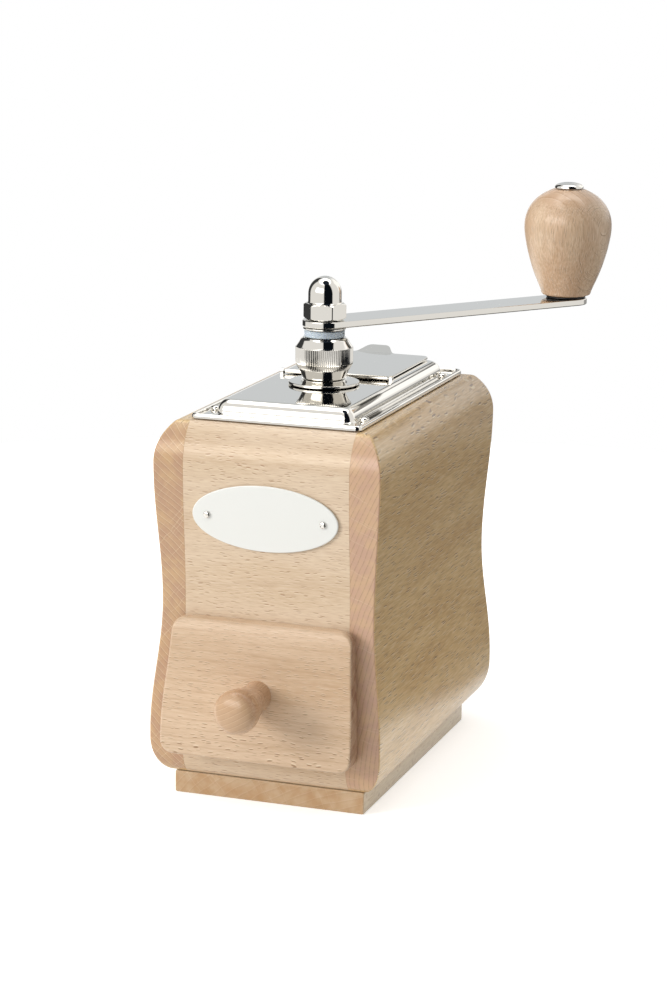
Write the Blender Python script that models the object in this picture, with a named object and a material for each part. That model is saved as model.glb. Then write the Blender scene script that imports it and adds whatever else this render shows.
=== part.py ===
"""Hand cranked box coffee mill: a waisted beech body on a plinth, a drawer that slides out at the front, a
stamped metal top with a hinged filling lid, and a cone burr set on an upright shaft that the crank turns.

Metres, +Z up. The origin is the middle of the plinth's underside, -Y is the front with the drawer."""

from math import cos, hypot, pi, radians, sin, sqrt

import bmesh
import bpy
from mathutils import Matrix, Vector

MM = 0.001

# Clearances
SEAT_GAP = 0.3 * MM  # between glued, seated or stacked pieces
TURN_GAP = 0.3 * MM  # round the turning shaft
SLIDE_GAP = 0.5 * MM  # round the drawer box
PIN_GAP = 0.2 * MM  # round the hinge pin
BURR_GAP = 0.4 * MM  # between the tooth tips of the two burrs
CUT_OVERRUN = 2.0 * MM  # how far a cutter runs past what it cuts

# Plinth
PLINTH_WIDTH = 75.2 * MM
PLINTH_DEPTH = 133.6 * MM
PLINTH_HEIGHT = 8.5 * MM
PLINTH_REAR_RADIUS = 8.0 * MM
PLINTH_EDGE = 0.6 * MM

# Body outline: half width and half depth at five heights, the lower ones above the body's underside
BODY_HEIGHT = 134.5 * MM
BULGE_HEIGHT = 16.6 * MM
WAIST_HEIGHT = 66.7 * MM
SHOULDER_DROP = 15.1 * MM  # below the body's top
UNDER_ROUND_HEIGHT = 14.0 * MM
UNDER_HALF_WIDTH = 36.8 * MM
BULGE_HALF_WIDTH = 45.4 * MM
WAIST_HALF_WIDTH = 41.6 * MM
SHOULDER_HALF_WIDTH = 44.1 * MM
TOP_HALF_WIDTH = 37.4 * MM
UNDER_HALF_DEPTH = 65.9 * MM
BULGE_HALF_DEPTH = 73.1 * MM
WAIST_HALF_DEPTH = 70.0 * MM
SHOULDER_HALF_DEPTH = 73.1 * MM
TOP_HALF_DEPTH = 66.0 * MM

# Body joinery
SIDE_STRIP = 4.8 * MM  # of a side panel's edge that shows at the front, where the body is narrowest
SIDE_RABBET = 6.5 * MM  # how far the front and back panels reach in behind it
END_WALL = 7.9 * MM  # of the front and back panels, where the body is shallowest

# Drawer window in the front panel, above the body's underside
WINDOW_SILL = 14.2 * MM
WINDOW_HEIGHT = 44.0 * MM
RUNNER_WIDTH = 8.0 * MM

# Mechanism board
HOPPER_DEPTH = 49.3 * MM  # from the body's top down to the board, which hangs the mill
BOARD_THICKNESS = 10.0 * MM

# Drawer
DRAWER_INSET = 8.0 * MM  # from the body's outline to the drawer front's edge
DRAWER_FRONT_THICKNESS = 9.5 * MM
DRAWER_FRONT_LOW = 11.5 * MM  # lower edge, above the body's underside
DRAWER_FRONT_HEIGHT = 51.0 * MM
DRAWER_CORNER_RADIUS = 5.0 * MM
DRAWER_TOP_EASE_HEIGHT = 8.0 * MM
DRAWER_TOP_EASE_DEPTH = 1.0 * MM
DRAWER_LEAN = 0.08  # how much thinner the front gets for each length of height above the bulge
DRAWER_FLARE = 0.035  # how much wider than the body's outline it gets there, on each side
DRAWER_EDGE = 0.9 * MM
DRAWER_SIDE_THICKNESS = 5.5 * MM
DRAWER_SIDE_HEIGHT = 36.0 * MM
DRAWER_BOTTOM_THICKNESS = 3.0 * MM
DRAWER_BOTTOM_RISE = 2.5 * MM
DRAWER_REAR_ROOM = 13.0 * MM  # behind the drawer box
DRAWER_BACK_DROP = 4.0 * MM  # how far the drawer back stays below the sides

# Drawer knob
KNOB_RISE = 36.4 * MM  # its axis above the body's underside
KNOB_LENGTH = 27.0 * MM
KNOB_HEAD_RADIUS = 8.3 * MM
KNOB_SEAT_RADIUS = 6.2 * MM
KNOB_SCREW_RADIUS = 1.5 * MM
KNOB_SCREW_HEAD_RADIUS = 3.4 * MM
KNOB_SCREW_HEAD_HEIGHT = 1.8 * MM
KNOB_SCREW_BITE = 12.0 * MM
# along the length from the seat, and out from the axis, as shares of length and of head radius
KNOB_PROFILE_SHARES = (
    (0.0, 0.72), (0.05, 0.67), (0.16, 0.64), (0.30, 0.68), (0.44, 0.78), (0.58, 0.91), (0.70, 0.99),
    (0.78, 1.0), (0.85, 0.965), (0.91, 0.86), (0.96, 0.66), (0.99, 0.36), (1.0, 0.10),
)

# Name plate
LABEL_HALF_WIDTH = 28.3 * MM
LABEL_HALF_HEIGHT = 12.5 * MM
LABEL_THICKNESS = 0.8 * MM
LABEL_DROP = 33.0 * MM  # its middle below the body's top
LABEL_PIN_REACH = 22.5 * MM
LABEL_PIN_HEAD_RADIUS = 1.3 * MM
LABEL_PIN_HEAD_HEIGHT = 0.7 * MM
LABEL_PIN_RADIUS = 0.6 * MM
LABEL_PIN_LENGTH = 7.0 * MM

# Stamped top plate: flange on the wood, raised dome in the middle
SHEET = 0.8 * MM
FLANGE_SIDE_STEP = 4.4 * MM  # from the edge of the body's top
FLANGE_FRONT_STEP = 2.0 * MM
FLANGE_REAR_STEP = 1.0 * MM
FLANGE_RADIUS = 2.5 * MM
BEAD_HEIGHT = 1.9 * MM
BEAD_WIDTH = 1.6 * MM
DOME_HEIGHT = 6.0 * MM  # above the underside of the flange
DOME_WALL = 3.8 * MM  # how far its rounded wall leans in
DOME_FRONT_STEP = 9.0 * MM  # from the flange's edge
DOME_REAR_STEP = 5.0 * MM
CHANNEL_WIDTH = 4.6 * MM  # between the dome's foot and the bead at the sides
DOME_FRONT_RADIUS = 4.0 * MM
DOME_REAR_RADIUS = 5.5 * MM
PLATE_SCREW_FRONT_STEP = 10.0 * MM  # from the ends of the hollow
PLATE_SCREW_REAR_STEP = 8.2 * MM
PLATE_SCREW_HEAD_HEIGHT = 1.4 * MM
PLATE_SCREW_RADIUS = 1.2 * MM
PLATE_SCREW_LENGTH = 12.0 * MM

# Filling lid, its opening and hinge
HINGE_LINE = 5.2 * MM  # behind the middle of the mill
HINGE_PIN_RADIUS = 0.35 * MM
HINGE_ROLL_RADIUS = 0.8 * MM
HINGE_EAR_THICKNESS = 1.1 * MM
HINGE_EAR_GAP = 0.6 * MM
HINGE_PIN_PROUD = 0.2 * MM
HINGE_EAR_MARGIN = 0.3 * MM  # of flat dome beside each ear
LID_THICKNESS = 0.9 * MM
LID_REAR_STEP = 1.6 * MM  # from the dome's rear
LID_CORNER = 3.0 * MM
LID_LAP = 2.6 * MM  # of the lid over the sides of its opening
OPENING_FRONT = 10.6 * MM
OPENING_REAR_STEP = 10.0 * MM  # from the dome's rear
# Finger tab, a tongue of the lid's rear edge that rises a little
TAB_LEFT = 2.4 * MM  # how far left of the lid's middle it stands
TAB_ROOT_HALF_WIDTH = 8.3 * MM
TAB_LENGTH = 6.8 * MM
TAB_RISE = 2.0 * MM
# Along the length, of the root's half width, of the rise
TAB_OUTLINE_SHARES = (
    (0.02, 1.08, 0.0),
    (0.06, 1.0, 0.02),
    (0.15, 0.9, 0.1),
    (0.28, 0.83, 0.24),
    (0.5, 0.73, 0.48),
    (0.72, 0.64, 0.72),
    (0.88, 0.54, 0.89),
    (0.97, 0.45, 0.97),
    (1.0, 0.36, 1.0),
)

# Shaft and its bearings, all on the mill's upright axis
AXIS_FRONT = 9.6 * MM  # in front of the middle
SHAFT_RADIUS = 5.0 * MM
JOURNAL_RADIUS = 3.5 * MM
THREAD_RADIUS = 4.0 * MM
SQUARE_HALF = 4.0 * MM
COLLAR_FOOT_RADIUS = 13.6 * MM
COLLAR_HEIGHT = 1.8 * MM
# up the collar, as shares of its height, and out from the axis, as shares of its foot's radius
COLLAR_PROFILE_SHARES = (
    (0.0, 0.97), (0.12, 1.0), (0.45, 1.0), (0.57, 0.97), (0.62, 0.86), (0.70, 0.74), (0.82, 0.65),
    (1.0, 0.60),
)
TOP_BUSH_RADIUS = 7.4 * MM
TOP_BUSH_FLANGE_RADIUS = 10.0 * MM
TOP_BUSH_FLANGE = 2.0 * MM
TOP_BUSH_DROP = 3.0 * MM  # below the bridge
TOP_BRIDGE_THICKNESS = 2.5 * MM
TOP_BRIDGE_WIDTH = 22.0 * MM
TOP_BRIDGE_LEG = 16.0 * MM
TOP_BRIDGE_SCREW_SPREAD = 6.0 * MM
TOP_BRIDGE_SCREW_DROP = 9.0 * MM
LOW_BRIDGE_THICKNESS = 3.0 * MM
LOW_BRIDGE_WIDTH = 13.0 * MM
LOW_BRIDGE_DROP = 14.0 * MM  # of its bar's underside below the board
LOW_BRIDGE_LEG = 24.5 * MM  # outer face of each leg from the axis
LOW_BRIDGE_FOOT = 34.0 * MM  # end of each foot from the axis
LOW_BRIDGE_SCREW = 29.5 * MM
LOW_BUSH_RADIUS = 6.0 * MM
LOW_BUSH_FLANGE_RADIUS = 8.0 * MM
LOW_BUSH_FLANGE = 1.5 * MM
JOURNAL_PROUD = 2.0 * MM
SHOULDER_GAP = 0.8 * MM

# Burrs, feed funnel and spring
BURR_BODY_RADIUS = 19.0 * MM
BURR_DEPTH = 14.0 * MM  # of the outer burr below the top of the board
BURR_FLANGE = 2.5 * MM
BURR_FLANGE_MARGIN = 1.1 * MM  # between its flange and the side panels
BURR_FLANGE_HALF_LENGTH = 29.0 * MM
BURR_SCREW_REACH = 24.2 * MM
BURR_MOUTH_RADIUS = 16.6 * MM
BURR_THROAT_RADIUS = 14.2 * MM
BURR_TOOTH = 1.2 * MM
OUTER_BURR_TEETH = 24
INNER_BURR_TOP_RADIUS = 7.6 * MM
INNER_BURR_RISE = 2.4 * MM  # of its top above the outer burr
INNER_BURR_DROP = 1.1 * MM  # of its foot below the outer burr
INNER_BURR_TEETH = 16
INNER_BURR_TWIST = radians(34)
BURR_PIN_RADIUS = 1.0 * MM
BURR_PIN_LENGTH = 18.0 * MM
MECHANISM_SCREW_RADIUS = 1.5 * MM
MECHANISM_SCREW_HEAD_RADIUS = 2.7 * MM
MECHANISM_SCREW_HEAD_HEIGHT = 1.7 * MM
MECHANISM_SCREW_BITE = 7.0 * MM
FUNNEL_TOP_DROP = 20.0 * MM  # below the top of the body
FUNNEL_MOUTH_RADIUS = 17.4 * MM
SPRING_RADIUS = 7.0 * MM
SPRING_WIRE_RADIUS = 0.6 * MM
SPRING_TURNS = 9
SPRING_SEAT_RADIUS = 8.6 * MM
SPRING_SEAT_THICKNESS = 0.9 * MM

# Adjusting nut and what is stacked above it
NUT_RADIUS = 11.0 * MM
NUT_HEIGHT = 15.7 * MM
NUT_TOP_RADIUS = 8.2 * MM
NUT_FOOT_RADIUS = 8.0 * MM
KNURL_DEPTH = 0.35 * MM
KNURL_TEETH = 40
NYLON_RADIUS = 7.7 * MM
NYLON_THICKNESS = 2.6 * MM
ARM_WASHER_RADIUS = 8.2 * MM
ARM_WASHER_THICKNESS = 0.7 * MM
# up the nut, as shares of its height, and out from the axis, as shares of its greatest radius
NUT_KNURL_LOW_SHARE = 0.20
NUT_KNURL_BEND_SHARE = 0.385
NUT_KNURL_TOP_SHARE = 0.76
NUT_KNURL_LOW_RADIUS_SHARE = 0.86
NUT_CONE_TOP_SHARE = 0.96
NUT_CONE_TOP_RADIUS_SHARE = 0.82

# Crank
CRANK_ANGLE = radians(52.8)
CRANK_LENGTH = 116.0 * MM
ARM_WIDTH = 17.0 * MM
ARM_THICKNESS = 2.5 * MM
CAP_NUT_FLATS = 14.4 * MM
CAP_NUT_HEX_HEIGHT = 6.1 * MM
CAP_NUT_DOME_RADIUS = 6.4 * MM
CAP_NUT_HEIGHT = 16.4 * MM
CAP_NUT_CHAMFER = 0.7 * MM
CAP_NUT_TURN = radians(17.6)
CAP_NUT_ROOM = 2.6 * MM  # solid metal left above the bore

# Crank knob
GRIP_RADIUS = 17.4 * MM
GRIP_HEIGHT = 42.3 * MM
GRIP_WASHER_RADIUS = 7.8 * MM
GRIP_WASHER_THICKNESS = 0.5 * MM
GRIP_SCREW_RADIUS = 3.0 * MM
GRIP_SCREW_HEAD_RADIUS = 5.8 * MM
GRIP_SCREW_HEAD_HEIGHT = 2.5 * MM
# up the knob, and out from its axis, as shares of its height and of its greatest radius
GRIP_PROFILE_SHARES = (
    (0.0, 0.50), (0.012, 0.56), (0.06, 0.60), (0.22, 0.765), (0.39, 0.895), (0.53, 0.97), (0.63, 1.0),
    (0.72, 0.985), (0.80, 0.925), (0.87, 0.82), (0.93, 0.67), (0.975, 0.49), (1.0, 0.355),
)

# Plinth screws
PLINTH_SCREW_SIDE = 31.0 * MM
PLINTH_SCREW_END_STEP = 10.0 * MM  # from the ends of the hollow
PLINTH_SCREW_RADIUS = 1.7 * MM
PLINTH_SCREW_HEAD_RADIUS = 3.2 * MM
PLINTH_SCREW_HEAD_HEIGHT = 2.4 * MM
PLINTH_SCREW_SINK = 1.0 * MM
PLINTH_SCREW_BITE = 16.0 * MM

# Widths and depths worked out from the sizes above
FRONT_HALF_WIDTH = min(UNDER_HALF_WIDTH, WAIST_HALF_WIDTH, TOP_HALF_WIDTH) - SIDE_STRIP
INNER_HALF_WIDTH = FRONT_HALF_WIDTH - SIDE_RABBET
INNER_HALF_DEPTH = min(UNDER_HALF_DEPTH, WAIST_HALF_DEPTH, TOP_HALF_DEPTH) - END_WALL
DRAWER_REAR = INNER_HALF_DEPTH - DRAWER_REAR_ROOM
PLINTH_SCREW_END = INNER_HALF_DEPTH - PLINTH_SCREW_END_STEP
PLATE_SCREW_FRONT = INNER_HALF_DEPTH - PLATE_SCREW_FRONT_STEP
PLATE_SCREW_REAR = INNER_HALF_DEPTH - PLATE_SCREW_REAR_STEP
FLANGE_HALF_WIDTH = TOP_HALF_WIDTH - FLANGE_SIDE_STEP
FLANGE_FRONT = TOP_HALF_DEPTH - FLANGE_FRONT_STEP
FLANGE_REAR = TOP_HALF_DEPTH - FLANGE_REAR_STEP
DOME_HALF_WIDTH = FLANGE_HALF_WIDTH - BEAD_WIDTH - CHANNEL_WIDTH
DOME_FRONT = FLANGE_FRONT - DOME_FRONT_STEP
DOME_REAR = FLANGE_REAR - DOME_REAR_STEP
LID_HALF_WIDTH = DOME_HALF_WIDTH - DOME_WALL - HINGE_EAR_MARGIN - HINGE_EAR_THICKNESS - HINGE_EAR_GAP
LID_REAR = DOME_REAR - LID_REAR_STEP
OPENING_REAR = DOME_REAR - OPENING_REAR_STEP
BURR_FLANGE_HALF_WIDTH = INNER_HALF_WIDTH - BURR_FLANGE_MARGIN

# Heights worked out from the sizes above
BODY_LOW = PLINTH_HEIGHT + SEAT_GAP
BODY_TOP = BODY_LOW + BODY_HEIGHT
SHOULDER_HEIGHT = BODY_HEIGHT - SHOULDER_DROP
BOARD_TOP = BODY_TOP - HOPPER_DEPTH
BOARD_LOW = BOARD_TOP - BOARD_THICKNESS
WINDOW_LOW = BODY_LOW + WINDOW_SILL
WINDOW_TOP = WINDOW_LOW + WINDOW_HEIGHT
PLATE_LOW = BODY_TOP + SEAT_GAP
FLANGE_TOP = PLATE_LOW + SHEET
DOME_TOP = PLATE_LOW + DOME_HEIGHT
HINGE_RISE = DOME_TOP + SEAT_GAP + HINGE_ROLL_RADIUS
COLLAR_LOW = DOME_TOP + SEAT_GAP
NUT_LOW = COLLAR_LOW + COLLAR_HEIGHT + TURN_GAP
NUT_TOP = NUT_LOW + NUT_HEIGHT
NYLON_LOW = NUT_TOP + SEAT_GAP
ARM_WASHER_LOW = NYLON_LOW + NYLON_THICKNESS + SEAT_GAP
ARM_LOW = ARM_WASHER_LOW + ARM_WASHER_THICKNESS + SEAT_GAP
ARM_TOP = ARM_LOW + ARM_THICKNESS
CAP_NUT_LOW = ARM_TOP + SEAT_GAP
BURR_LOW = BOARD_TOP - BURR_DEPTH
BURR_FLANGE_LOW = BOARD_TOP + SEAT_GAP
BURR_TOP = BURR_FLANGE_LOW + BURR_FLANGE
INNER_BURR_LOW = BURR_LOW - INNER_BURR_DROP
INNER_BURR_TOP = BURR_TOP + INNER_BURR_RISE
BURR_PIN_RISE = INNER_BURR_LOW - SEAT_GAP - BURR_PIN_RADIUS
LOW_BRIDGE_LOW = BOARD_LOW - LOW_BRIDGE_DROP
LOW_BRIDGE_TOP = LOW_BRIDGE_LOW + LOW_BRIDGE_THICKNESS
LOW_BUSH_TOP = LOW_BRIDGE_TOP + SEAT_GAP + LOW_BUSH_FLANGE
LOW_BUSH_LOW = LOW_BRIDGE_LOW - SEAT_GAP
TOP_BRIDGE_TOP = BODY_TOP - SEAT_GAP
TOP_BRIDGE_LOW = TOP_BRIDGE_TOP - TOP_BRIDGE_THICKNESS
TOP_BUSH_LOW = TOP_BRIDGE_LOW - TOP_BUSH_DROP
TOP_BUSH_TOP = COLLAR_LOW - SEAT_GAP
SPRING_SEAT_LOW = TOP_BUSH_LOW - TURN_GAP - SPRING_SEAT_THICKNESS
GRIP_WASHER_LOW = ARM_TOP + SEAT_GAP
GRIP_LOW = GRIP_WASHER_LOW + GRIP_WASHER_THICKNESS + SEAT_GAP
GRIP_TOP = GRIP_LOW + GRIP_HEIGHT
SHAFT_BORE = SHAFT_RADIUS + TURN_GAP

# Fineness of round shapes
ROUND_STEPS = 32
SMALL_STEPS = 12
CORNER_STEPS = 5
SHARP_ANGLE = radians(32)


def clear_scene():
    for old in list(bpy.data.objects):
        bpy.data.objects.remove(old, do_unlink=True)


def material(name, colour, roughness, metallic=0.0):
    made = bpy.data.materials.new(name)
    made.use_nodes = True
    shader = made.node_tree.nodes["Principled BSDF"]
    shader.inputs["Base Color"].default_value = (*colour, 1.0)
    shader.inputs["Roughness"].default_value = roughness
    shader.inputs["Metallic"].default_value = metallic
    return made


def body_half(height, under, bulge, waist, shoulder, top):
    """Half width or half depth of the waisted body at a height above its underside."""
    if height < UNDER_ROUND_HEIGHT:
        fall = 1.0 - height / UNDER_ROUND_HEIGHT
        return under + (bulge - under) * sqrt(max(0.0, 1.0 - fall * fall))
    if height < BULGE_HEIGHT:
        return bulge
    if height < WAIST_HEIGHT:
        share = (height - BULGE_HEIGHT) / (WAIST_HEIGHT - BULGE_HEIGHT)
        return waist + (bulge - waist) * (1.0 + cos(pi * share)) / 2.0
    if height < SHOULDER_HEIGHT:
        share = (height - WAIST_HEIGHT) / (SHOULDER_HEIGHT - WAIST_HEIGHT)
        return waist + (shoulder - waist) * (1.0 - cos(pi * share)) / 2.0
    rise = BODY_HEIGHT - SHOULDER_HEIGHT
    drop = shoulder - top
    curvature = 2.0 * drop / (rise * rise + drop * drop)
    climb = height - SHOULDER_HEIGHT
    return shoulder - curvature * climb * climb / (1.0 + sqrt(max(0.0, 1.0 - (curvature * climb) ** 2)))


def half_width(z):
    return body_half(z - BODY_LOW, UNDER_HALF_WIDTH, BULGE_HALF_WIDTH, WAIST_HALF_WIDTH, SHOULDER_HALF_WIDTH,
                     TOP_HALF_WIDTH)


def half_depth(z):
    return body_half(z - BODY_LOW, UNDER_HALF_DEPTH, BULGE_HALF_DEPTH, WAIST_HALF_DEPTH, SHOULDER_HALF_DEPTH,
                     TOP_HALF_DEPTH)


def spread(low, high, count):
    return [low + (high - low) * i / count for i in range(count + 1)]


def body_levels(low=BODY_LOW, high=BODY_TOP):
    """Heights between low and high that follow the body's outline, closer together where it curves more."""
    round_steps, wave_steps, crown_steps = 5, 7, 5
    heights = [UNDER_ROUND_HEIGHT * (1.0 - cos(pi / 2.0 * i / round_steps)) for i in range(round_steps + 1)]
    heights += spread(BULGE_HEIGHT, WAIST_HEIGHT, wave_steps)
    heights += spread(WAIST_HEIGHT, SHOULDER_HEIGHT, wave_steps)[1:]
    heights += spread(SHOULDER_HEIGHT, BODY_HEIGHT, crown_steps)[1:]
    inside = [BODY_LOW + h for h in heights if low < BODY_LOW + h < high]
    return [low] + inside + [high]


def loft(rings, hollow=False):
    """A closed body through rings of points: capped, or where hollow its last ring joins its first."""
    bm = bmesh.new()
    loops = [[bm.verts.new(point) for point in ring] for ring in rings]
    pairs = list(zip(loops, loops[1:]))
    if hollow:
        pairs.append((loops[-1], loops[0]))
    for one, two in pairs:
        for i, start in enumerate(one):
            j = (i + 1) % len(one)
            bm.faces.new((start, one[j], two[j], two[i]))
    if not hollow:
        bm.faces.new(loops[0][::-1])
        bm.faces.new(loops[-1])
    return bm


def slab(layers):
    """A closed body through outlines of rows, each (half width, y, z), with strips across its two faces."""
    bm = bmesh.new()
    loops = []
    for rows in layers:
        points = rows + [(-x, y, z) for x, y, z in reversed(rows)]
        loops.append([bm.verts.new(point) for point in points])
    for one, two in zip(loops, loops[1:]):
        for i, start in enumerate(one):
            j = (i + 1) % len(one)
            bm.faces.new((start, one[j], two[j], two[i]))
    for loop in (loops[0], loops[-1]):
        for i in range(len(loop) // 2 - 1):
            bm.faces.new((loop[i], loop[i + 1], loop[-i - 2], loop[-i - 1]))
    return bm


def add(name, bm, finish, parent=None):
    """Makes the object of a mesh in world coordinates, or in its parent's frame."""
    bmesh.ops.recalc_face_normals(bm, faces=bm.faces)
    mesh = bpy.data.meshes.new(name)
    bm.to_mesh(mesh)
    bm.free()
    mesh.materials.append(finish)
    mesh.shade_smooth()
    mesh.set_sharp_from_angle(angle=SHARP_ANGLE)
    made = bpy.data.objects.new(name, mesh)
    bpy.context.collection.objects.link(made)
    made.parent = parent
    return made


def add_cutter(name, bm, parent=None):
    made = add(name, bm, bpy.data.materials["beech"], parent)
    made.hide_render = True
    made.display_type = "WIRE"
    return made


def cut(pieces, cutter, operation="DIFFERENCE"):
    for piece in pieces:
        change = piece.modifiers.new(cutter.name, "BOOLEAN")
        change.operation = operation
        change.solver = "EXACT"
        change.object = cutter


def add_empty(name, place, turn=0.0, parent=None):
    made = bpy.data.objects.new(name, None)
    made.location = place
    made.rotation_euler = (0.0, 0.0, turn)
    made.parent = parent
    bpy.context.collection.objects.link(made)
    return made


def circle(radius, z, steps=ROUND_STEPS):
    """A ring of points whose flats, not its corners, face along X and Y."""
    turns = [2 * pi * (i + 0.5) / steps for i in range(steps)]
    return [(radius * cos(turn), radius * sin(turn), z) for turn in turns]


def around(reach, z, steps=ROUND_STEPS, start=0.0):
    """A ring of points whose distance from the axis is reach(number, turn), turned on by a start angle."""
    points = []
    for i in range(steps):
        turn = 2 * pi * i / steps
        out = reach(i, turn)
        points.append((out * cos(turn + start), out * sin(turn + start), z))
    return points


def turned(profile, hollow=False, steps=ROUND_STEPS):
    """A turned body from (radius, height) points, about Z."""
    return loft([circle(radius, z, steps) for radius, z in profile], hollow)


def washer(inner, outer, low, high, steps=ROUND_STEPS):
    return turned([(inner, low), (outer, low), (outer, high), (inner, high)], hollow=True, steps=steps)


def disc(radius, low, high, steps=ROUND_STEPS):
    return turned([(radius, low), (radius, high)], steps=steps)


def oval(half_x, half_y, power, z, steps, middle_y=0.0):
    """A ring between an ellipse (power 2) and a rectangle (high power)."""
    points = []
    for i in range(steps):
        turn = 2 * pi * (i + 0.5) / steps
        across, along = abs(cos(turn)) / half_x, abs(sin(turn)) / half_y
        reach = (across**power + along**power) ** (-1.0 / power)
        points.append((reach * cos(turn), middle_y + reach * sin(turn), z))
    return points


def outline(half, front, rear, front_radius, rear_radius, z):
    """A four sided outline with round corners, from the Y of its front to the Y of its rear."""
    corners = ((half - rear_radius, rear - rear_radius, rear_radius, 0.0),
               (-half + rear_radius, rear - rear_radius, rear_radius, pi / 2),
               (-half + front_radius, front + front_radius, front_radius, pi),
               (half - front_radius, front + front_radius, front_radius, 1.5 * pi))
    return [(x + radius * cos(turn), y + radius * sin(turn), z)
            for x, y, radius, start in corners for turn in spread(start, start + pi / 2, CORNER_STEPS)]


def box(low, high):
    return loft([[(low[0], low[1], z), (high[0], low[1], z), (high[0], high[1], z), (low[0], high[1], z)]
                 for z in (low[2], high[2])])


def prism_along_x(points, low, high):
    return loft([[(x, y, z) for y, z in points] for x in (low, high)])


def prism_along_y(points, low, high):
    return loft([[(x, y, z) for x, z in points] for y in (low, high)])


def rotated(bm, matrix):
    bmesh.ops.transform(bm, matrix=matrix, verts=bm.verts)
    return bm


def aimed(place, direction):
    """Takes a body modelled about +Z from the origin to a place, pointing along a direction."""
    turn = Vector((0.0, 0.0, 1.0)).rotation_difference(Vector(direction)).to_matrix().to_4x4()
    return Matrix.Translation(Vector(place)) @ turn


def fastener(head_radius, head_height, shank_radius, shank_length, domed=True):
    """A screw or pin: its head rises along +Z from the origin, its shank runs down to a short point."""
    point = shank_radius
    crown = head_height * (0.45 if domed else 0.8)
    profile = [(shank_radius / 2, -shank_length), (shank_radius, -shank_length + point), (shank_radius, 0.0),
               (head_radius, 0.0), (head_radius, crown)]
    if domed:
        profile += [(head_radius * cos(turn), crown + (head_height - crown) * sin(turn))
                    for turn in (radians(40), radians(75))]
    else:
        profile.append((head_radius * 0.85, head_height))
    return turned(profile, steps=SMALL_STEPS)


def add_fasteners(name, spots, sizes, finish, parent=None, domed=True):
    """Identical fasteners, one object each. Each spot is a place and the way its head points."""
    for number, (place, direction) in enumerate(spots, 1):
        one = rotated(fastener(*sizes, domed=domed), aimed(place, direction))
        add(f"{name}_{number}" if len(spots) > 1 else name, one, finish, parent)


def drill(pieces, name, spots, radius, depth, above, parent=None):
    """Holes along each fastener: from above its head's seat down to a depth below it."""
    for number, (place, direction) in enumerate(spots):
        hole = disc(radius, -depth, above, SMALL_STEPS)
        cut(pieces, add_cutter(f"{name}_{number}", rotated(hole, aimed(place, direction)), parent))


def make_materials():
    material("beech", (0.62, 0.43, 0.28), 0.45)
    material("beech_ply", (0.55, 0.38, 0.25), 0.6)
    material("nickel_plated_steel", (0.80, 0.80, 0.78), 0.12, 1.0)
    material("bright_steel", (0.72, 0.72, 0.71), 0.2, 1.0)
    material("burr_steel", (0.35, 0.35, 0.36), 0.4, 1.0)
    material("brass", (0.76, 0.58, 0.28), 0.3, 1.0)
    material("nylon", (0.70, 0.76, 0.84), 0.35)
    material("white_enamel", (0.90, 0.90, 0.88), 0.25)
    material("black_fibre", (0.03, 0.03, 0.03), 0.6)


def finish(name):
    return bpy.data.materials[name]


def make_plinth():
    front, rear = -PLINTH_DEPTH / 2, PLINTH_DEPTH / 2
    half = PLINTH_WIDTH / 2

    def edge(inset, z):
        radius = PLINTH_REAR_RADIUS - inset
        points = [(-half + inset, front + inset, z), (half - inset, front + inset, z)]
        for x, start in ((half - PLINTH_REAR_RADIUS, 0.0), (-half + PLINTH_REAR_RADIUS, pi / 2)):
            for step in range(CORNER_STEPS + 1):
                turn = start + pi / 2 * step / CORNER_STEPS
                points.append((x + radius * cos(turn), rear - PLINTH_REAR_RADIUS + radius * sin(turn), z))
        return points

    rings = [edge(0.0, 0.0), edge(0.0, PLINTH_HEIGHT - PLINTH_EDGE), edge(PLINTH_EDGE, PLINTH_HEIGHT)]
    return add("base_plinth", loft(rings), finish("beech"))


def make_side_panel(name, side):
    """A side panel with its outer face shaped, rabbeted front and rear for the panels let into it."""
    rings = []
    rabbet = FRONT_HALF_WIDTH + SEAT_GAP
    for z in body_levels():
        wide, deep = half_width(z), half_depth(z)
        points = [(rabbet, -deep), (wide, -deep), (wide, deep), (rabbet, deep), (rabbet, INNER_HALF_DEPTH),
                  (INNER_HALF_WIDTH, INNER_HALF_DEPTH), (INNER_HALF_WIDTH, -INNER_HALF_DEPTH),
                  (rabbet, -INNER_HALF_DEPTH)]
        rings.append([(side * x, y, z) for x, y in points])
    return add(name, loft(rings), finish("beech"))


def make_end_panel(name, side):
    """The front (side -1) or back (side 1) panel between the side panels."""
    near = INNER_HALF_DEPTH + SEAT_GAP
    rings = [[(-FRONT_HALF_WIDTH, side * near, z), (FRONT_HALF_WIDTH, side * near, z),
              (FRONT_HALF_WIDTH, side * half_depth(z), z), (-FRONT_HALF_WIDTH, side * half_depth(z), z)]
             for z in body_levels()]
    return add(name, loft(rings), finish("beech"))


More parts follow.
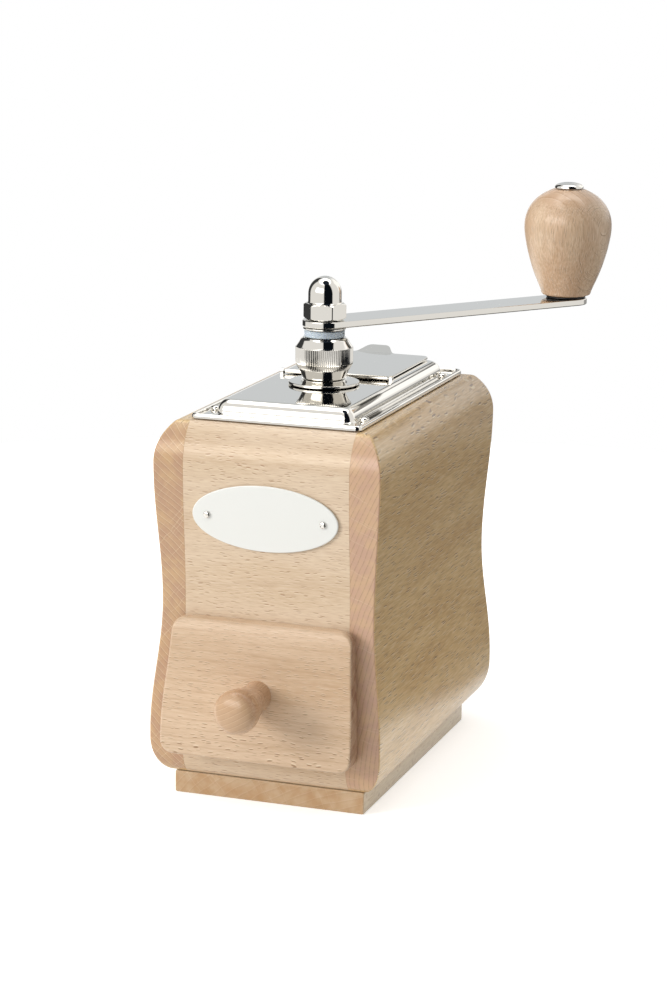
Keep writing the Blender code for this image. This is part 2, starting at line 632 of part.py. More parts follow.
def make_body():
    plinth = make_plinth()
    left = make_side_panel("side_panel_left", -1)
    right = make_side_panel("side_panel_right", 1)
    front = make_end_panel("front_panel", -1)
    back = make_end_panel("back_panel", 1)
    window = box((-INNER_HALF_WIDTH, -BULGE_HALF_DEPTH - CUT_OVERRUN, WINDOW_LOW),
                 (INNER_HALF_WIDTH, -INNER_HALF_DEPTH + CUT_OVERRUN, WINDOW_TOP))
    cut([front], add_cutter("cut_drawer_window", window))

    inside = INNER_HALF_WIDTH - SEAT_GAP
    for name, side in (("drawer_runner_left", -1), ("drawer_runner_right", 1)):
        near, far = sorted((side * (inside - RUNNER_WIDTH), side * inside))
        runner = box((near, -INNER_HALF_DEPTH, BODY_LOW), (far, INNER_HALF_DEPTH, WINDOW_LOW))
        add(name, runner, finish("beech"))

    seat = PLINTH_SCREW_SINK + PLINTH_SCREW_HEAD_HEIGHT
    spots = [((x * PLINTH_SCREW_SIDE, y * PLINTH_SCREW_END, seat), (0, 0, -1))
             for x in (-1, 1) for y in (-1, 1)]
    sizes = (PLINTH_SCREW_HEAD_RADIUS, PLINTH_SCREW_HEAD_HEIGHT, PLINTH_SCREW_RADIUS, PLINTH_SCREW_BITE)
    add_fasteners("plinth_screw", spots, sizes, finish("bright_steel"), domed=False)
    drill([plinth, left, right], "cut_plinth_screw_hole", spots, PLINTH_SCREW_RADIUS + SEAT_GAP,
          PLINTH_SCREW_BITE + SEAT_GAP, 0.0)
    recess = [((x, y, seat + SEAT_GAP), way) for (x, y, seat), way in spots]
    drill([plinth], "cut_plinth_screw_recess", recess, PLINTH_SCREW_HEAD_RADIUS + SEAT_GAP, 0.0,
          PLINTH_HEIGHT)
    return left, right, front


def make_name_plate(front):
    """The oval plate follows the curve of the front panel; it is plain, with a pin at each end."""
    middle = BODY_TOP - LABEL_DROP
    steps = 14
    rings = []
    for i in range(steps + 1):
        rise = -cos(pi * (i + 0.35) / (steps + 0.7))
        half = LABEL_HALF_WIDTH * sqrt(1.0 - rise * rise)
        z = middle + LABEL_HALF_HEIGHT * rise
        near = -half_depth(z) - SEAT_GAP
        rings.append([(-half, near, z), (half, near, z), (half, near - LABEL_THICKNESS, z),
                      (-half, near - LABEL_THICKNESS, z)])
    plate = add("name_plate", loft(rings), finish("white_enamel"))

    seat = -half_depth(middle) - SEAT_GAP - LABEL_THICKNESS - SEAT_GAP
    spots = [((x * LABEL_PIN_REACH, seat, middle), (0, -1, 0)) for x in (-1, 1)]
    sizes = (LABEL_PIN_HEAD_RADIUS, LABEL_PIN_HEAD_HEIGHT, LABEL_PIN_RADIUS, LABEL_PIN_LENGTH)
    add_fasteners("name_plate_pin", spots, sizes, finish("nickel_plated_steel"))
    drill([plate, front], "cut_name_plate_pin_hole", spots, LABEL_PIN_RADIUS + SEAT_GAP,
          LABEL_PIN_LENGTH + SEAT_GAP, CUT_OVERRUN)


def plate_ring(inset, z):
    """The flange's outline, drawn in by an inset."""
    radius = FLANGE_RADIUS - inset / 2
    return outline(FLANGE_HALF_WIDTH - inset, -FLANGE_FRONT + inset, FLANGE_REAR - inset, radius, radius, z)


def dome_ring(inset, z):
    """The raised dome's outline, drawn in by an inset."""
    return outline(DOME_HALF_WIDTH - inset, -DOME_FRONT + inset, DOME_REAR - inset,
                   DOME_FRONT_RADIUS - inset / 2, DOME_REAR_RADIUS - inset / 2, z)


def make_top_plate(left, right):
    """One stamping of even sheet: a beaded rim, a flat flange and a raised dome with rounded walls."""
    wall = [(DOME_WALL * (1.0 - cos(turn)), FLANGE_TOP + (DOME_TOP - FLANGE_TOP) * sin(turn))
            for turn in spread(0.0, pi / 2, 5)]
    rings = [dome_ring(inset, z) for inset, z in reversed(wall)]
    rings += [
        plate_ring(BEAD_WIDTH, FLANGE_TOP),
        plate_ring(BEAD_WIDTH * 0.75, PLATE_LOW + BEAD_HEIGHT),
        plate_ring(BEAD_WIDTH * 0.3, PLATE_LOW + BEAD_HEIGHT),
        plate_ring(0.0, PLATE_LOW + BEAD_HEIGHT * 0.6),
        plate_ring(0.0, PLATE_LOW),
    ]
    rings += [dome_ring(inset + SHEET, z - SHEET) for inset, z in wall]
    plate = add("top_plate", loft(rings), finish("nickel_plated_steel"))

    below, above = PLATE_LOW + SHEET, HINGE_RISE + HINGE_ROLL_RADIUS + CUT_OVERRUN
    opening_half = LID_HALF_WIDTH - LID_LAP
    mouth = box((-opening_half, OPENING_FRONT, below), (opening_half, OPENING_REAR, above))
    cut([plate], add_cutter("cut_filling_opening", mouth))
    shaft_hole = disc(TOP_BUSH_RADIUS + SEAT_GAP, below, above)
    bmesh.ops.translate(shaft_hole, verts=shaft_hole.verts, vec=(0.0, -AXIS_FRONT, 0.0))
    cut([plate], add_cutter("cut_shaft_hole", shaft_hole))

    ear_radius = HINGE_ROLL_RADIUS + SEAT_GAP
    root = DOME_TOP - SHEET / 2
    arch = [(HINGE_LINE - ear_radius, root), (HINGE_LINE + ear_radius, root)]
    arch += [(HINGE_LINE + ear_radius * cos(turn), HINGE_RISE + ear_radius * sin(turn))
             for turn in spread(0.0, pi, 8)]
    near = LID_HALF_WIDTH + HINGE_EAR_GAP
    for name, side in (("join_hinge_ear_left", -1), ("join_hinge_ear_right", 1)):
        low, high = sorted((side * near, side * (near + HINGE_EAR_THICKNESS)))
        cut([plate], add_cutter(name, prism_along_x(arch, low, high)), "UNION")
    reach = near + HINGE_EAR_THICKNESS
    pin_line = [((0.0, HINGE_LINE, HINGE_RISE), (1, 0, 0))]
    drill([plate], "cut_hinge_pin_hole", pin_line, HINGE_PIN_RADIUS + PIN_GAP, reach + CUT_OVERRUN,
          reach + CUT_OVERRUN)

    channel_far = FLANGE_HALF_WIDTH - BEAD_WIDTH
    middle = (DOME_HALF_WIDTH + channel_far) / 2
    head_radius = CHANNEL_WIDTH / 2 - SEAT_GAP
    spots = [((x * middle, y, FLANGE_TOP + SEAT_GAP), (0, 0, 1))
             for x in (-1, 1) for y in (-PLATE_SCREW_FRONT, PLATE_SCREW_REAR)]
    sizes = (head_radius, PLATE_SCREW_HEAD_HEIGHT, PLATE_SCREW_RADIUS, PLATE_SCREW_LENGTH)
    add_fasteners("top_plate_screw", spots, sizes, finish("nickel_plated_steel"))
    drill([plate, left, right], "cut_plate_screw_hole", spots, PLATE_SCREW_RADIUS + SEAT_GAP,
          PLATE_SCREW_LENGTH + SEAT_GAP, CUT_OVERRUN)


def make_lid():
    """A flat flap with a rolled front edge on the hinge pin and a raised finger tab at the rear."""
    axis = add_empty("lid_hinge_axis", (0.0, HINGE_LINE, HINGE_RISE))
    low = DOME_TOP + SEAT_GAP - HINGE_RISE
    high = low + LID_THICKNESS
    rear = LID_REAR - HINGE_LINE

    def ring(half, middle, under, over):
        """Four corners across the sheet, from its lower and upper point (y, z)."""
        left, right = middle - half, middle + half
        return [(left, *under), (right, *under), (right, *over), (left, *over)]

    rings = [ring(half, 0.0, (y, low), (y, high)) for y, half in (
        (HINGE_PIN_RADIUS + PIN_GAP / 2, LID_HALF_WIDTH),
        (rear - LID_CORNER, LID_HALF_WIDTH),
        (rear, LID_HALF_WIDTH - LID_CORNER),
    )]
    for along, wide, up in TAB_OUTLINE_SHARES:
        y = rear + TAB_LENGTH * along
        rise = TAB_RISE * up
        rings.append(ring(TAB_ROOT_HALF_WIDTH * wide, -TAB_LEFT, (y, low + rise), (y, high + rise)))
    lid = add("filling_lid", loft(rings), finish("nickel_plated_steel"), axis)
    roll = disc(HINGE_ROLL_RADIUS, -LID_HALF_WIDTH, LID_HALF_WIDTH, SMALL_STEPS)
    cut([lid], add_cutter("join_hinge_roll", rotated(roll, aimed((0, 0, 0), (1, 0, 0))), axis), "UNION")
    drill([lid], "cut_hinge_roll_bore", [((0, 0, 0), (1, 0, 0))], HINGE_PIN_RADIUS + PIN_GAP,
          LID_HALF_WIDTH + CUT_OVERRUN, LID_HALF_WIDTH + CUT_OVERRUN, axis)

    half = LID_HALF_WIDTH + HINGE_EAR_GAP + HINGE_EAR_THICKNESS + HINGE_PIN_PROUD
    pin = disc(HINGE_PIN_RADIUS, -half, half, SMALL_STEPS)
    add("hinge_pin", rotated(pin, aimed((0.0, HINGE_LINE, HINGE_RISE), (1, 0, 0))), finish("bright_steel"))


def make_mechanism(left, right, axis):
    """The fixed half of the mill: board, outer burr, bridges, bushes, collar and feed funnel."""
    inside = INNER_HALF_WIDTH - SEAT_GAP
    solid = box((-inside, -INNER_HALF_DEPTH, BOARD_LOW), (inside, INNER_HALF_DEPTH, BOARD_TOP))
    board = add("mechanism_board", solid, finish("beech"))
    hole = disc(BURR_BODY_RADIUS + SEAT_GAP, BOARD_LOW - CUT_OVERRUN, BOARD_TOP + CUT_OVERRUN)
    cut([board], add_cutter("cut_burr_seat", hole, axis))

    make_outer_burr(board, axis)
    make_low_bridge(board, axis)
    make_top_bridge(left, right, axis)
    make_funnel(axis)

    outside = [(COLLAR_FOOT_RADIUS * out, COLLAR_LOW + COLLAR_HEIGHT * up)
               for up, out in COLLAR_PROFILE_SHARES]
    top = COLLAR_LOW + COLLAR_HEIGHT
    collar = turned([(SHAFT_BORE, COLLAR_LOW)] + outside + [(SHAFT_BORE, top)], hollow=True)
    add("shaft_collar", collar, finish("nickel_plated_steel"), axis)


def make_outer_burr(board, axis):
    steps = OUTER_BURR_TEETH * 3
    depths = (0.0, BURR_TOOTH, BURR_TOOTH / 2)

    def toothed(radius, z):
        return around(lambda i, turn: radius + depths[i % 3], z, steps)

    def body(z):
        return around(lambda i, turn: BURR_BODY_RADIUS, z, steps)

    def flange(z):
        return around(lambda i, turn: 1.0 / hypot(cos(turn) / BURR_FLANGE_HALF_WIDTH,
                                                  sin(turn) / BURR_FLANGE_HALF_LENGTH), z, steps)

    rings = [toothed(BURR_THROAT_RADIUS, BURR_LOW), body(BURR_LOW), body(BURR_FLANGE_LOW),
             flange(BURR_FLANGE_LOW), flange(BURR_TOP), toothed(BURR_MOUTH_RADIUS, BURR_TOP)]
    burr = add("outer_burr", loft(rings, hollow=True), finish("burr_steel"), axis)
    spots = [((0.0, y * BURR_SCREW_REACH, BURR_TOP + SEAT_GAP), (0, 0, 1)) for y in (-1, 1)]
    length = BURR_FLANGE + MECHANISM_SCREW_BITE
    sizes = (MECHANISM_SCREW_HEAD_RADIUS, MECHANISM_SCREW_HEAD_HEIGHT, MECHANISM_SCREW_RADIUS, length)
    add_fasteners("outer_burr_screw", spots, sizes, finish("bright_steel"), axis)
    drill([burr, board], "cut_burr_screw_hole", spots, MECHANISM_SCREW_RADIUS + SEAT_GAP, length + SEAT_GAP,
          CUT_OVERRUN, axis)


def make_low_bridge(board, axis):
    """The bridge under the board that carries the foot of the shaft."""
    foot_low = BOARD_LOW - SEAT_GAP - LOW_BRIDGE_THICKNESS
    foot_top = BOARD_LOW - SEAT_GAP
    inner = LOW_BRIDGE_LEG - LOW_BRIDGE_THICKNESS
    half = [(LOW_BRIDGE_LEG, LOW_BRIDGE_LOW), (LOW_BRIDGE_LEG, foot_low), (LOW_BRIDGE_FOOT, foot_low),
            (LOW_BRIDGE_FOOT, foot_top), (inner, foot_top), (inner, LOW_BRIDGE_TOP)]
    points = half + [(-y, z) for y, z in reversed(half)]
    bridge = add("lower_bridge", prism_along_x(points, -LOW_BRIDGE_WIDTH / 2, LOW_BRIDGE_WIDTH / 2),
                 finish("bright_steel"), axis)
    hole = disc(LOW_BUSH_RADIUS + SEAT_GAP, LOW_BRIDGE_LOW - CUT_OVERRUN, LOW_BRIDGE_TOP + CUT_OVERRUN)
    cut([bridge], add_cutter("cut_low_bush_seat", hole, axis))
    spots = [((0.0, y * LOW_BRIDGE_SCREW, foot_low - SEAT_GAP), (0, 0, -1)) for y in (-1, 1)]
    length = LOW_BRIDGE_THICKNESS + MECHANISM_SCREW_BITE
    sizes = (MECHANISM_SCREW_HEAD_RADIUS, MECHANISM_SCREW_HEAD_HEIGHT, MECHANISM_SCREW_RADIUS, length)
    add_fasteners("lower_bridge_screw", spots, sizes, finish("bright_steel"), axis)
    drill([bridge, board], "cut_low_bridge_screw_hole", spots, MECHANISM_SCREW_RADIUS + SEAT_GAP,
          length + SEAT_GAP, CUT_OVERRUN, axis)

    bore = JOURNAL_RADIUS + TURN_GAP
    flange_low = LOW_BUSH_TOP - LOW_BUSH_FLANGE
    bush = turned([(bore, LOW_BUSH_LOW), (LOW_BUSH_RADIUS, LOW_BUSH_LOW), (LOW_BUSH_RADIUS, flange_low),
                   (LOW_BUSH_FLANGE_RADIUS, flange_low), (LOW_BUSH_FLANGE_RADIUS, LOW_BUSH_TOP),
                   (bore, LOW_BUSH_TOP)], hollow=True)
    add("lower_bush", bush, finish("brass"), axis)


def make_top_bridge(left, right, axis):
    """The strap across the top of the body that carries the upper bush."""
    outer = INNER_HALF_WIDTH - SEAT_GAP
    inner = outer - TOP_BRIDGE_THICKNESS
    leg_low = TOP_BRIDGE_TOP - TOP_BRIDGE_LEG
    points = [(-outer, leg_low), (-inner, leg_low), (-inner, TOP_BRIDGE_LOW), (inner, TOP_BRIDGE_LOW),
              (inner, leg_low), (outer, leg_low), (outer, TOP_BRIDGE_TOP), (-outer, TOP_BRIDGE_TOP)]
    bridge = add("upper_bridge", prism_along_y(points, -TOP_BRIDGE_WIDTH / 2, TOP_BRIDGE_WIDTH / 2),
                 finish("bright_steel"), axis)
    hole = disc(TOP_BUSH_RADIUS + SEAT_GAP, TOP_BRIDGE_LOW - CUT_OVERRUN, TOP_BRIDGE_TOP + CUT_OVERRUN)
    cut([bridge], add_cutter("cut_top_bush_seat", hole, axis))
    seat = inner - SEAT_GAP
    rise = TOP_BRIDGE_TOP - TOP_BRIDGE_SCREW_DROP
    spots = [((x * seat, y * TOP_BRIDGE_SCREW_SPREAD, rise), (-x, 0, 0)) for x in (-1, 1) for y in (-1, 1)]
    length = TOP_BRIDGE_THICKNESS + MECHANISM_SCREW_BITE
    sizes = (MECHANISM_SCREW_HEAD_RADIUS, MECHANISM_SCREW_HEAD_HEIGHT, MECHANISM_SCREW_RADIUS, length)
    add_fasteners("upper_bridge_screw", spots, sizes, finish("bright_steel"), axis)
    drill([bridge, left, right], "cut_top_bridge_screw_hole", spots, MECHANISM_SCREW_RADIUS + SEAT_GAP,
          length + SEAT_GAP, CUT_OVERRUN, axis)

    flange_low = TOP_BRIDGE_TOP + SEAT_GAP
    flange_top = flange_low + TOP_BUSH_FLANGE
    bush = turned([(SHAFT_BORE, TOP_BUSH_LOW), (TOP_BUSH_RADIUS, TOP_BUSH_LOW),
                   (TOP_BUSH_RADIUS, flange_low), (TOP_BUSH_FLANGE_RADIUS, flange_low),
                   (TOP_BUSH_FLANGE_RADIUS, flange_top), (TOP_BUSH_RADIUS, flange_top),
                   (TOP_BUSH_RADIUS, TOP_BUSH_TOP), (SHAFT_BORE, TOP_BUSH_TOP)], hollow=True)
    add("upper_bush", bush, finish("brass"), axis)


def make_funnel(axis):
    """The sheet funnel that feeds beans from the square hopper into the round burr."""
    steps = 36
    top = BODY_TOP - FUNNEL_TOP_DROP
    low = BURR_TOP + SEAT_GAP
    wide, deep = INNER_HALF_WIDTH - SEAT_GAP, INNER_HALF_DEPTH - SEAT_GAP
    lip = top - 3 * SHEET
    square, round_power = 14.0, 2.0
    rings = [
        oval(FUNNEL_MOUTH_RADIUS, FUNNEL_MOUTH_RADIUS, round_power, low, steps),
        oval(wide, deep, square, lip, steps, AXIS_FRONT),
        oval(wide, deep, square, top, steps, AXIS_FRONT),
        oval(wide - SHEET, deep - SHEET, square, top, steps, AXIS_FRONT),
        oval(wide - SHEET, deep - SHEET, square, lip + SHEET, steps, AXIS_FRONT),
        oval(FUNNEL_MOUTH_RADIUS - SHEET, FUNNEL_MOUTH_RADIUS - SHEET, round_power, low, steps),
    ]
    add("feed_funnel", loft(rings, hollow=True), finish("bright_steel"), axis)


def make_drawer():
    """The drawer front laps over the window; the box behind it runs on the two runners."""
    axis = add_empty("drawer_slide_axis", (0.0, 0.0, 0.0))
    low = BODY_LOW + DRAWER_FRONT_LOW
    high = low + DRAWER_FRONT_HEIGHT

    def above_bulge(z):
        return max(0.0, z - BODY_LOW - BULGE_HEIGHT)

    def face(z):
        past = max(0.0, (z - high) / DRAWER_TOP_EASE_HEIGHT + 1.0)
        drawn_in = DRAWER_LEAN * above_bulge(z) + DRAWER_TOP_EASE_DEPTH * past * past
        return -half_depth(z) - SEAT_GAP - DRAWER_FRONT_THICKNESS + drawn_in

    def edge(inset, back):
        """The front's outline drawn in by an inset, as rows from the bottom up, set back from its face."""
        radius = DRAWER_CORNER_RADIUS - inset
        lowest, highest = low + DRAWER_CORNER_RADIUS, high - DRAWER_CORNER_RADIUS
        turns = spread(0.0, pi / 2, CORNER_STEPS)
        rows = [(lowest - radius * cos(turn), radius * (1.0 - sin(turn))) for turn in turns]
        rows += [(z, 0.0) for z in spread(lowest, highest, 7)[1:-1]]
        rows += [(highest + radius * sin(turn), radius * (1.0 - cos(turn))) for turn in turns]
        return [(half_width(z) - DRAWER_INSET + DRAWER_FLARE * above_bulge(z) - inset - corner,
                 face(z) + back, z) for z, corner in rows]

    rear = [(half, -half_depth(z) - SEAT_GAP, z) for half, y, z in edge(0.0, 0.0)]
    rows = [rear, edge(0.0, DRAWER_EDGE), edge(DRAWER_EDGE * 0.3, DRAWER_EDGE * 0.3), edge(DRAWER_EDGE, 0.0)]
    front = add("drawer_front", slab(rows), finish("beech"), axis)

    make_drawer_box(axis)
    make_drawer_knob(front, face, axis)


def make_drawer_box(axis):
    outer = INNER_HALF_WIDTH - SLIDE_GAP
    inner = outer - DRAWER_SIDE_THICKNESS
    low = WINDOW_LOW + SLIDE_GAP
    high = low + DRAWER_SIDE_HEIGHT
    for name, side in (("drawer_side_left", -1), ("drawer_side_right", 1)):
        rings = []
        for z in body_levels(low, high):
            front = -half_depth(z)
            rings.append([(side * inner, front, z), (side * outer, front, z), (side * outer, DRAWER_REAR, z),
                          (side * inner, DRAWER_REAR, z)])
        add(name, loft(rings), finish("beech"), axis)
    between = inner - SEAT_GAP
    bottom_low = low + DRAWER_BOTTOM_RISE
    bottom_high = bottom_low + DRAWER_BOTTOM_THICKNESS
    bottom = box((-between, -half_depth(bottom_high), bottom_low), (between, DRAWER_REAR, bottom_high))
    add("drawer_bottom", bottom, finish("beech_ply"), axis)
    back = box((-between, DRAWER_REAR - DRAWER_SIDE_THICKNESS, bottom_high + SEAT_GAP),
               (between, DRAWER_REAR, high - DRAWER_BACK_DROP))
    add("drawer_back", back, finish("beech"), axis)


def make_drawer_knob(front, face, axis):
    rise = BODY_LOW + KNOB_RISE
    seat = face(rise + KNOB_SEAT_RADIUS) + SEAT_GAP
    place = (0.0, seat - SEAT_GAP, rise)
    profile = [(KNOB_HEAD_RADIUS * out, KNOB_LENGTH * along) for along, out in KNOB_PROFILE_SHARES]
    knob = add("drawer_knob", rotated(turned(profile), aimed(place, (0, -1, 0))), finish("beech"), axis)
    spot = disc(KNOB_SEAT_RADIUS + SEAT_GAP, 0.0, KNOB_LENGTH)
    cut([front], add_cutter("cut_knob_seat", rotated(spot, aimed((0.0, seat, rise), (0, -1, 0))), axis))

    screw_seat = -half_depth(rise + KNOB_SCREW_HEAD_RADIUS)
    length = screw_seat - place[1] + KNOB_SCREW_BITE
    spots = [((0.0, screw_seat, rise), (0, 1, 0))]
    sizes = (KNOB_SCREW_HEAD_RADIUS, KNOB_SCREW_HEAD_HEIGHT, KNOB_SCREW_RADIUS, length)
    add_fasteners("drawer_knob_screw", spots, sizes, finish("bright_steel"), axis)
    drill([front, knob], "cut_knob_screw_hole", spots, KNOB_SCREW_RADIUS + SEAT_GAP, length + SEAT_GAP,
          CUT_OVERRUN, axis)


def make_shaft(crank):
    """The upright shaft: journal at its foot, round body, square for the arm, thread for the cap nut."""

    def section(radius, z):
        return around(lambda i, turn: radius, z)

    def square(z):
        return around(lambda i, turn: min(SHAFT_RADIUS,
                                          SQUARE_HALF / max(abs(cos(turn)), abs(sin(turn)))), z)

    shoulder = LOW_BUSH_TOP + SHOULDER_GAP
    square_low = ARM_LOW - SEAT_GAP
    end = CAP_NUT_LOW + CAP_NUT_HEIGHT - CAP_NUT_ROOM - SEAT_GAP
    rings = [section(JOURNAL_RADIUS, LOW_BUSH_LOW - JOURNAL_PROUD), section(JOURNAL_RADIUS, shoulder),
             section(SHAFT_RADIUS, shoulder), section(SHAFT_RADIUS, square_low), square(square_low),
             square(ARM_TOP), section(THREAD_RADIUS, ARM_TOP),
             section(THREAD_RADIUS, end - THREAD_RADIUS / 4), section(THREAD_RADIUS * 0.8, end)]
    shaft = add("drive_shaft", loft(rings), finish("bright_steel"), crank)

    half = BURR_PIN_LENGTH / 2
    place = ((0.0, 0.0, BURR_PIN_RISE), (1, 0, 0))
    pin = rotated(disc(BURR_PIN_RADIUS, -half, half, SMALL_STEPS), aimed(*place))
    add("burr_drive_pin", pin, finish("bright_steel"), crank)
    drill([shaft], "cut_drive_pin_hole", [place], BURR_PIN_RADIUS + SEAT_GAP, half, half, crank)


def make_inner_burr(crank):
    """A cone with twisted teeth, narrow at the top where the beans come in."""
    steps = INNER_BURR_TEETH * 3
    depths = (0.0, BURR_TOOTH, BURR_TOOTH / 2)
    foot = BURR_THROAT_RADIUS - BURR_GAP
    levels = 6

    def toothed(share):
        z = INNER_BURR_LOW + (INNER_BURR_TOP - INNER_BURR_LOW) * share
        radius = foot + (INNER_BURR_TOP_RADIUS - foot) * share**1.3
        return around(lambda i, turn: radius - depths[i % 3], z, steps, INNER_BURR_TWIST * share)

    rings = [toothed(i / levels) for i in range(levels + 1)]
    rings += [around(lambda i, turn: SHAFT_BORE, z, steps, start)
              for start, z in ((INNER_BURR_TWIST, INNER_BURR_TOP), (0.0, INNER_BURR_LOW))]
    add("inner_burr", loft(rings, hollow=True), finish("burr_steel"), crank)


def make_spring(crank):
    """The coil that presses the inner burr down, and the washer it turns against."""
    low = INNER_BURR_TOP + SEAT_GAP + SPRING_WIRE_RADIUS
    high = SPRING_SEAT_LOW - SEAT_GAP - SPRING_WIRE_RADIUS
    per_turn, sides = 12, 6
    count = SPRING_TURNS * per_turn
    pitch = (high - low) / SPRING_TURNS
    round_length = 2 * pi * SPRING_RADIUS
    rings = []
    for i in range(count + 1):
        turn = 2 * pi * i / per_turn
        out = Vector((cos(turn), sin(turn), 0.0))
        middle = out * SPRING_RADIUS + Vector((0.0, 0.0, low + (high - low) * i / count))
        along = Vector((-sin(turn) * round_length, cos(turn) * round_length, pitch)).normalized()
        up = along.cross(out)
        wire = [2 * pi * k / sides for k in range(sides)]
        rings.append([middle + SPRING_WIRE_RADIUS * (out * cos(at) + up * sin(at)) for at in wire])
    print("spring: least gap between turns", round((pitch - 2 * SPRING_WIRE_RADIUS) / MM, 2), "mm")
    add("burr_spring", loft(rings), finish("bright_steel"), crank)
    seat = washer(SHAFT_BORE, SPRING_SEAT_RADIUS, SPRING_SEAT_LOW, SPRING_SEAT_LOW + SPRING_SEAT_THICKNESS)
    add("spring_washer", seat, finish("bright_steel"), crank)


def make_arm(crank):
    """The flat crank arm, round at both ends, with a square hole on the shaft."""
    radius = ARM_WIDTH / 2
    steps = ROUND_STEPS // 2
    points = [(radius * cos(turn), radius * sin(turn)) for turn in spread(pi / 2, 1.5 * pi, steps)]
    points += [(CRANK_LENGTH - x, -y) for x, y in points]
    arm = add("crank_arm", loft([[(x, y, z) for x, y in points] for z in (ARM_LOW, ARM_TOP)]),
              finish("nickel_plated_steel"), crank)
    half = SQUARE_HALF + SEAT_GAP
    square = box((-half, -half, ARM_LOW - CUT_OVERRUN), (half, half, ARM_TOP + CUT_OVERRUN))
    cut([arm], add_cutter("cut_arm_square", square, crank))
    spots = [((CRANK_LENGTH, 0.0, ARM_TOP), (0, 0, 1))]
    drill([arm], "cut_arm_screw_hole", spots, GRIP_SCREW_RADIUS + SEAT_GAP, ARM_THICKNESS + CUT_OVERRUN,
          CUT_OVERRUN, crank)
    steel = washer(SHAFT_BORE, ARM_WASHER_RADIUS, ARM_WASHER_LOW, ARM_WASHER_LOW + ARM_WASHER_THICKNESS)
    add("arm_washer", steel, finish("nickel_plated_steel"), crank)
    nylon = washer(SHAFT_BORE, NYLON_RADIUS, NYLON_LOW, NYLON_LOW + NYLON_THICKNESS)
    add("nylon_washer", nylon, finish("nylon"), crank)


def make_cap_nut(crank):
    """A domed hexagon nut, chamfered at both ends of the hexagon."""
    steps = 36
    corner = CAP_NUT_FLATS / sqrt(3.0)
    low, top = CAP_NUT_LOW, CAP_NUT_LOW + CAP_NUT_HEIGHT
    hex_top = low + CAP_NUT_HEX_HEIGHT

    def hexagon(limit, z):
        def reach(i, turn):
            off = abs((turn + pi / 6) % (pi / 3) - pi / 6)
            return min(limit, CAP_NUT_FLATS / 2 / cos(pi / 6 - off))

        return around(reach, z, steps, CAP_NUT_TURN)

    bore = THREAD_RADIUS + SEAT_GAP
    middle = top - CAP_NUT_DOME_RADIUS
    inside = top - CAP_NUT_ROOM
    rings = [hexagon(bore, inside), hexagon(bore, low), hexagon(CAP_NUT_FLATS / 2, low),
             hexagon(corner, low + CAP_NUT_CHAMFER), hexagon(corner, hex_top - CAP_NUT_CHAMFER),
             hexagon(CAP_NUT_FLATS / 2, hex_top),
             hexagon(CAP_NUT_DOME_RADIUS, hex_top + CAP_NUT_CHAMFER / 4)]
    rings += [hexagon(CAP_NUT_DOME_RADIUS * cos(turn), middle + CAP_NUT_DOME_RADIUS * sin(turn))
              for turn in spread(0.0, radians(82), 7)]
    add("cap_nut", loft(rings), finish("nickel_plated_steel"), crank)


def make_grip(crank):
    """The egg shaped crank knob turns on a screw with a domed head that is fixed in the arm."""
    axis = add_empty("crank_knob_axis", (CRANK_LENGTH, 0.0, 0.0), parent=crank)
    pad = washer(GRIP_SCREW_RADIUS + SEAT_GAP, GRIP_WASHER_RADIUS, GRIP_WASHER_LOW,
                 GRIP_WASHER_LOW + GRIP_WASHER_THICKNESS, steps=24)
    bmesh.ops.translate(pad, verts=pad.verts, vec=(CRANK_LENGTH, 0.0, 0.0))
    add("crank_knob_washer", pad, finish("black_fibre"), crank)
    head = GRIP_TOP + TURN_GAP
    spots = [((CRANK_LENGTH, 0.0, head), (0, 0, 1))]
    sizes = (GRIP_SCREW_HEAD_RADIUS, GRIP_SCREW_HEAD_HEIGHT, GRIP_SCREW_RADIUS, head - ARM_LOW)
    add_fasteners("crank_knob_screw", spots, sizes, finish("nickel_plated_steel"), crank)

    bore = GRIP_SCREW_RADIUS + TURN_GAP
    profile = [(GRIP_RADIUS * out, GRIP_LOW + GRIP_HEIGHT * up) for up, out in GRIP_PROFILE_SHARES]
    knob = turned([(bore, GRIP_LOW)] + profile + [(bore, GRIP_TOP)], hollow=True)
    add("crank_knob", knob, finish("beech"), axis)


def make_adjusting_nut(parent):
    """The knurled nut under the arm that sets how fine the mill grinds."""
    steps = KNURL_TEETH * 2

    def smooth(radius, z):
        return around(lambda i, turn: radius, z, steps)

    def knurled(radius, z):
        return around(lambda i, turn: radius - KNURL_DEPTH * (i % 2), z, steps)

    def at(share):
        return NUT_LOW + NUT_HEIGHT * share

    low_radius = NUT_RADIUS * NUT_KNURL_LOW_RADIUS_SHARE
    rings = [smooth(SHAFT_BORE, at(0.0)), smooth(NUT_FOOT_RADIUS, at(0.0)),
             smooth(low_radius - KNURL_DEPTH, at(NUT_KNURL_LOW_SHARE)),
             knurled(low_radius, at(NUT_KNURL_LOW_SHARE)), knurled(NUT_RADIUS, at(NUT_KNURL_BEND_SHARE)),
             knurled(NUT_RADIUS, at(NUT_KNURL_TOP_SHARE)),
             smooth(NUT_RADIUS - KNURL_DEPTH, at(NUT_KNURL_TOP_SHARE) + KNURL_DEPTH),
             smooth(NUT_RADIUS * NUT_CONE_TOP_RADIUS_SHARE, at(NUT_CONE_TOP_SHARE)),
             smooth(NUT_TOP_RADIUS, at(1.0)), smooth(SHAFT_BORE, at(1.0))]
    add("adjusting_nut", loft(rings, hollow=True), finish("nickel_plated_steel"), parent)


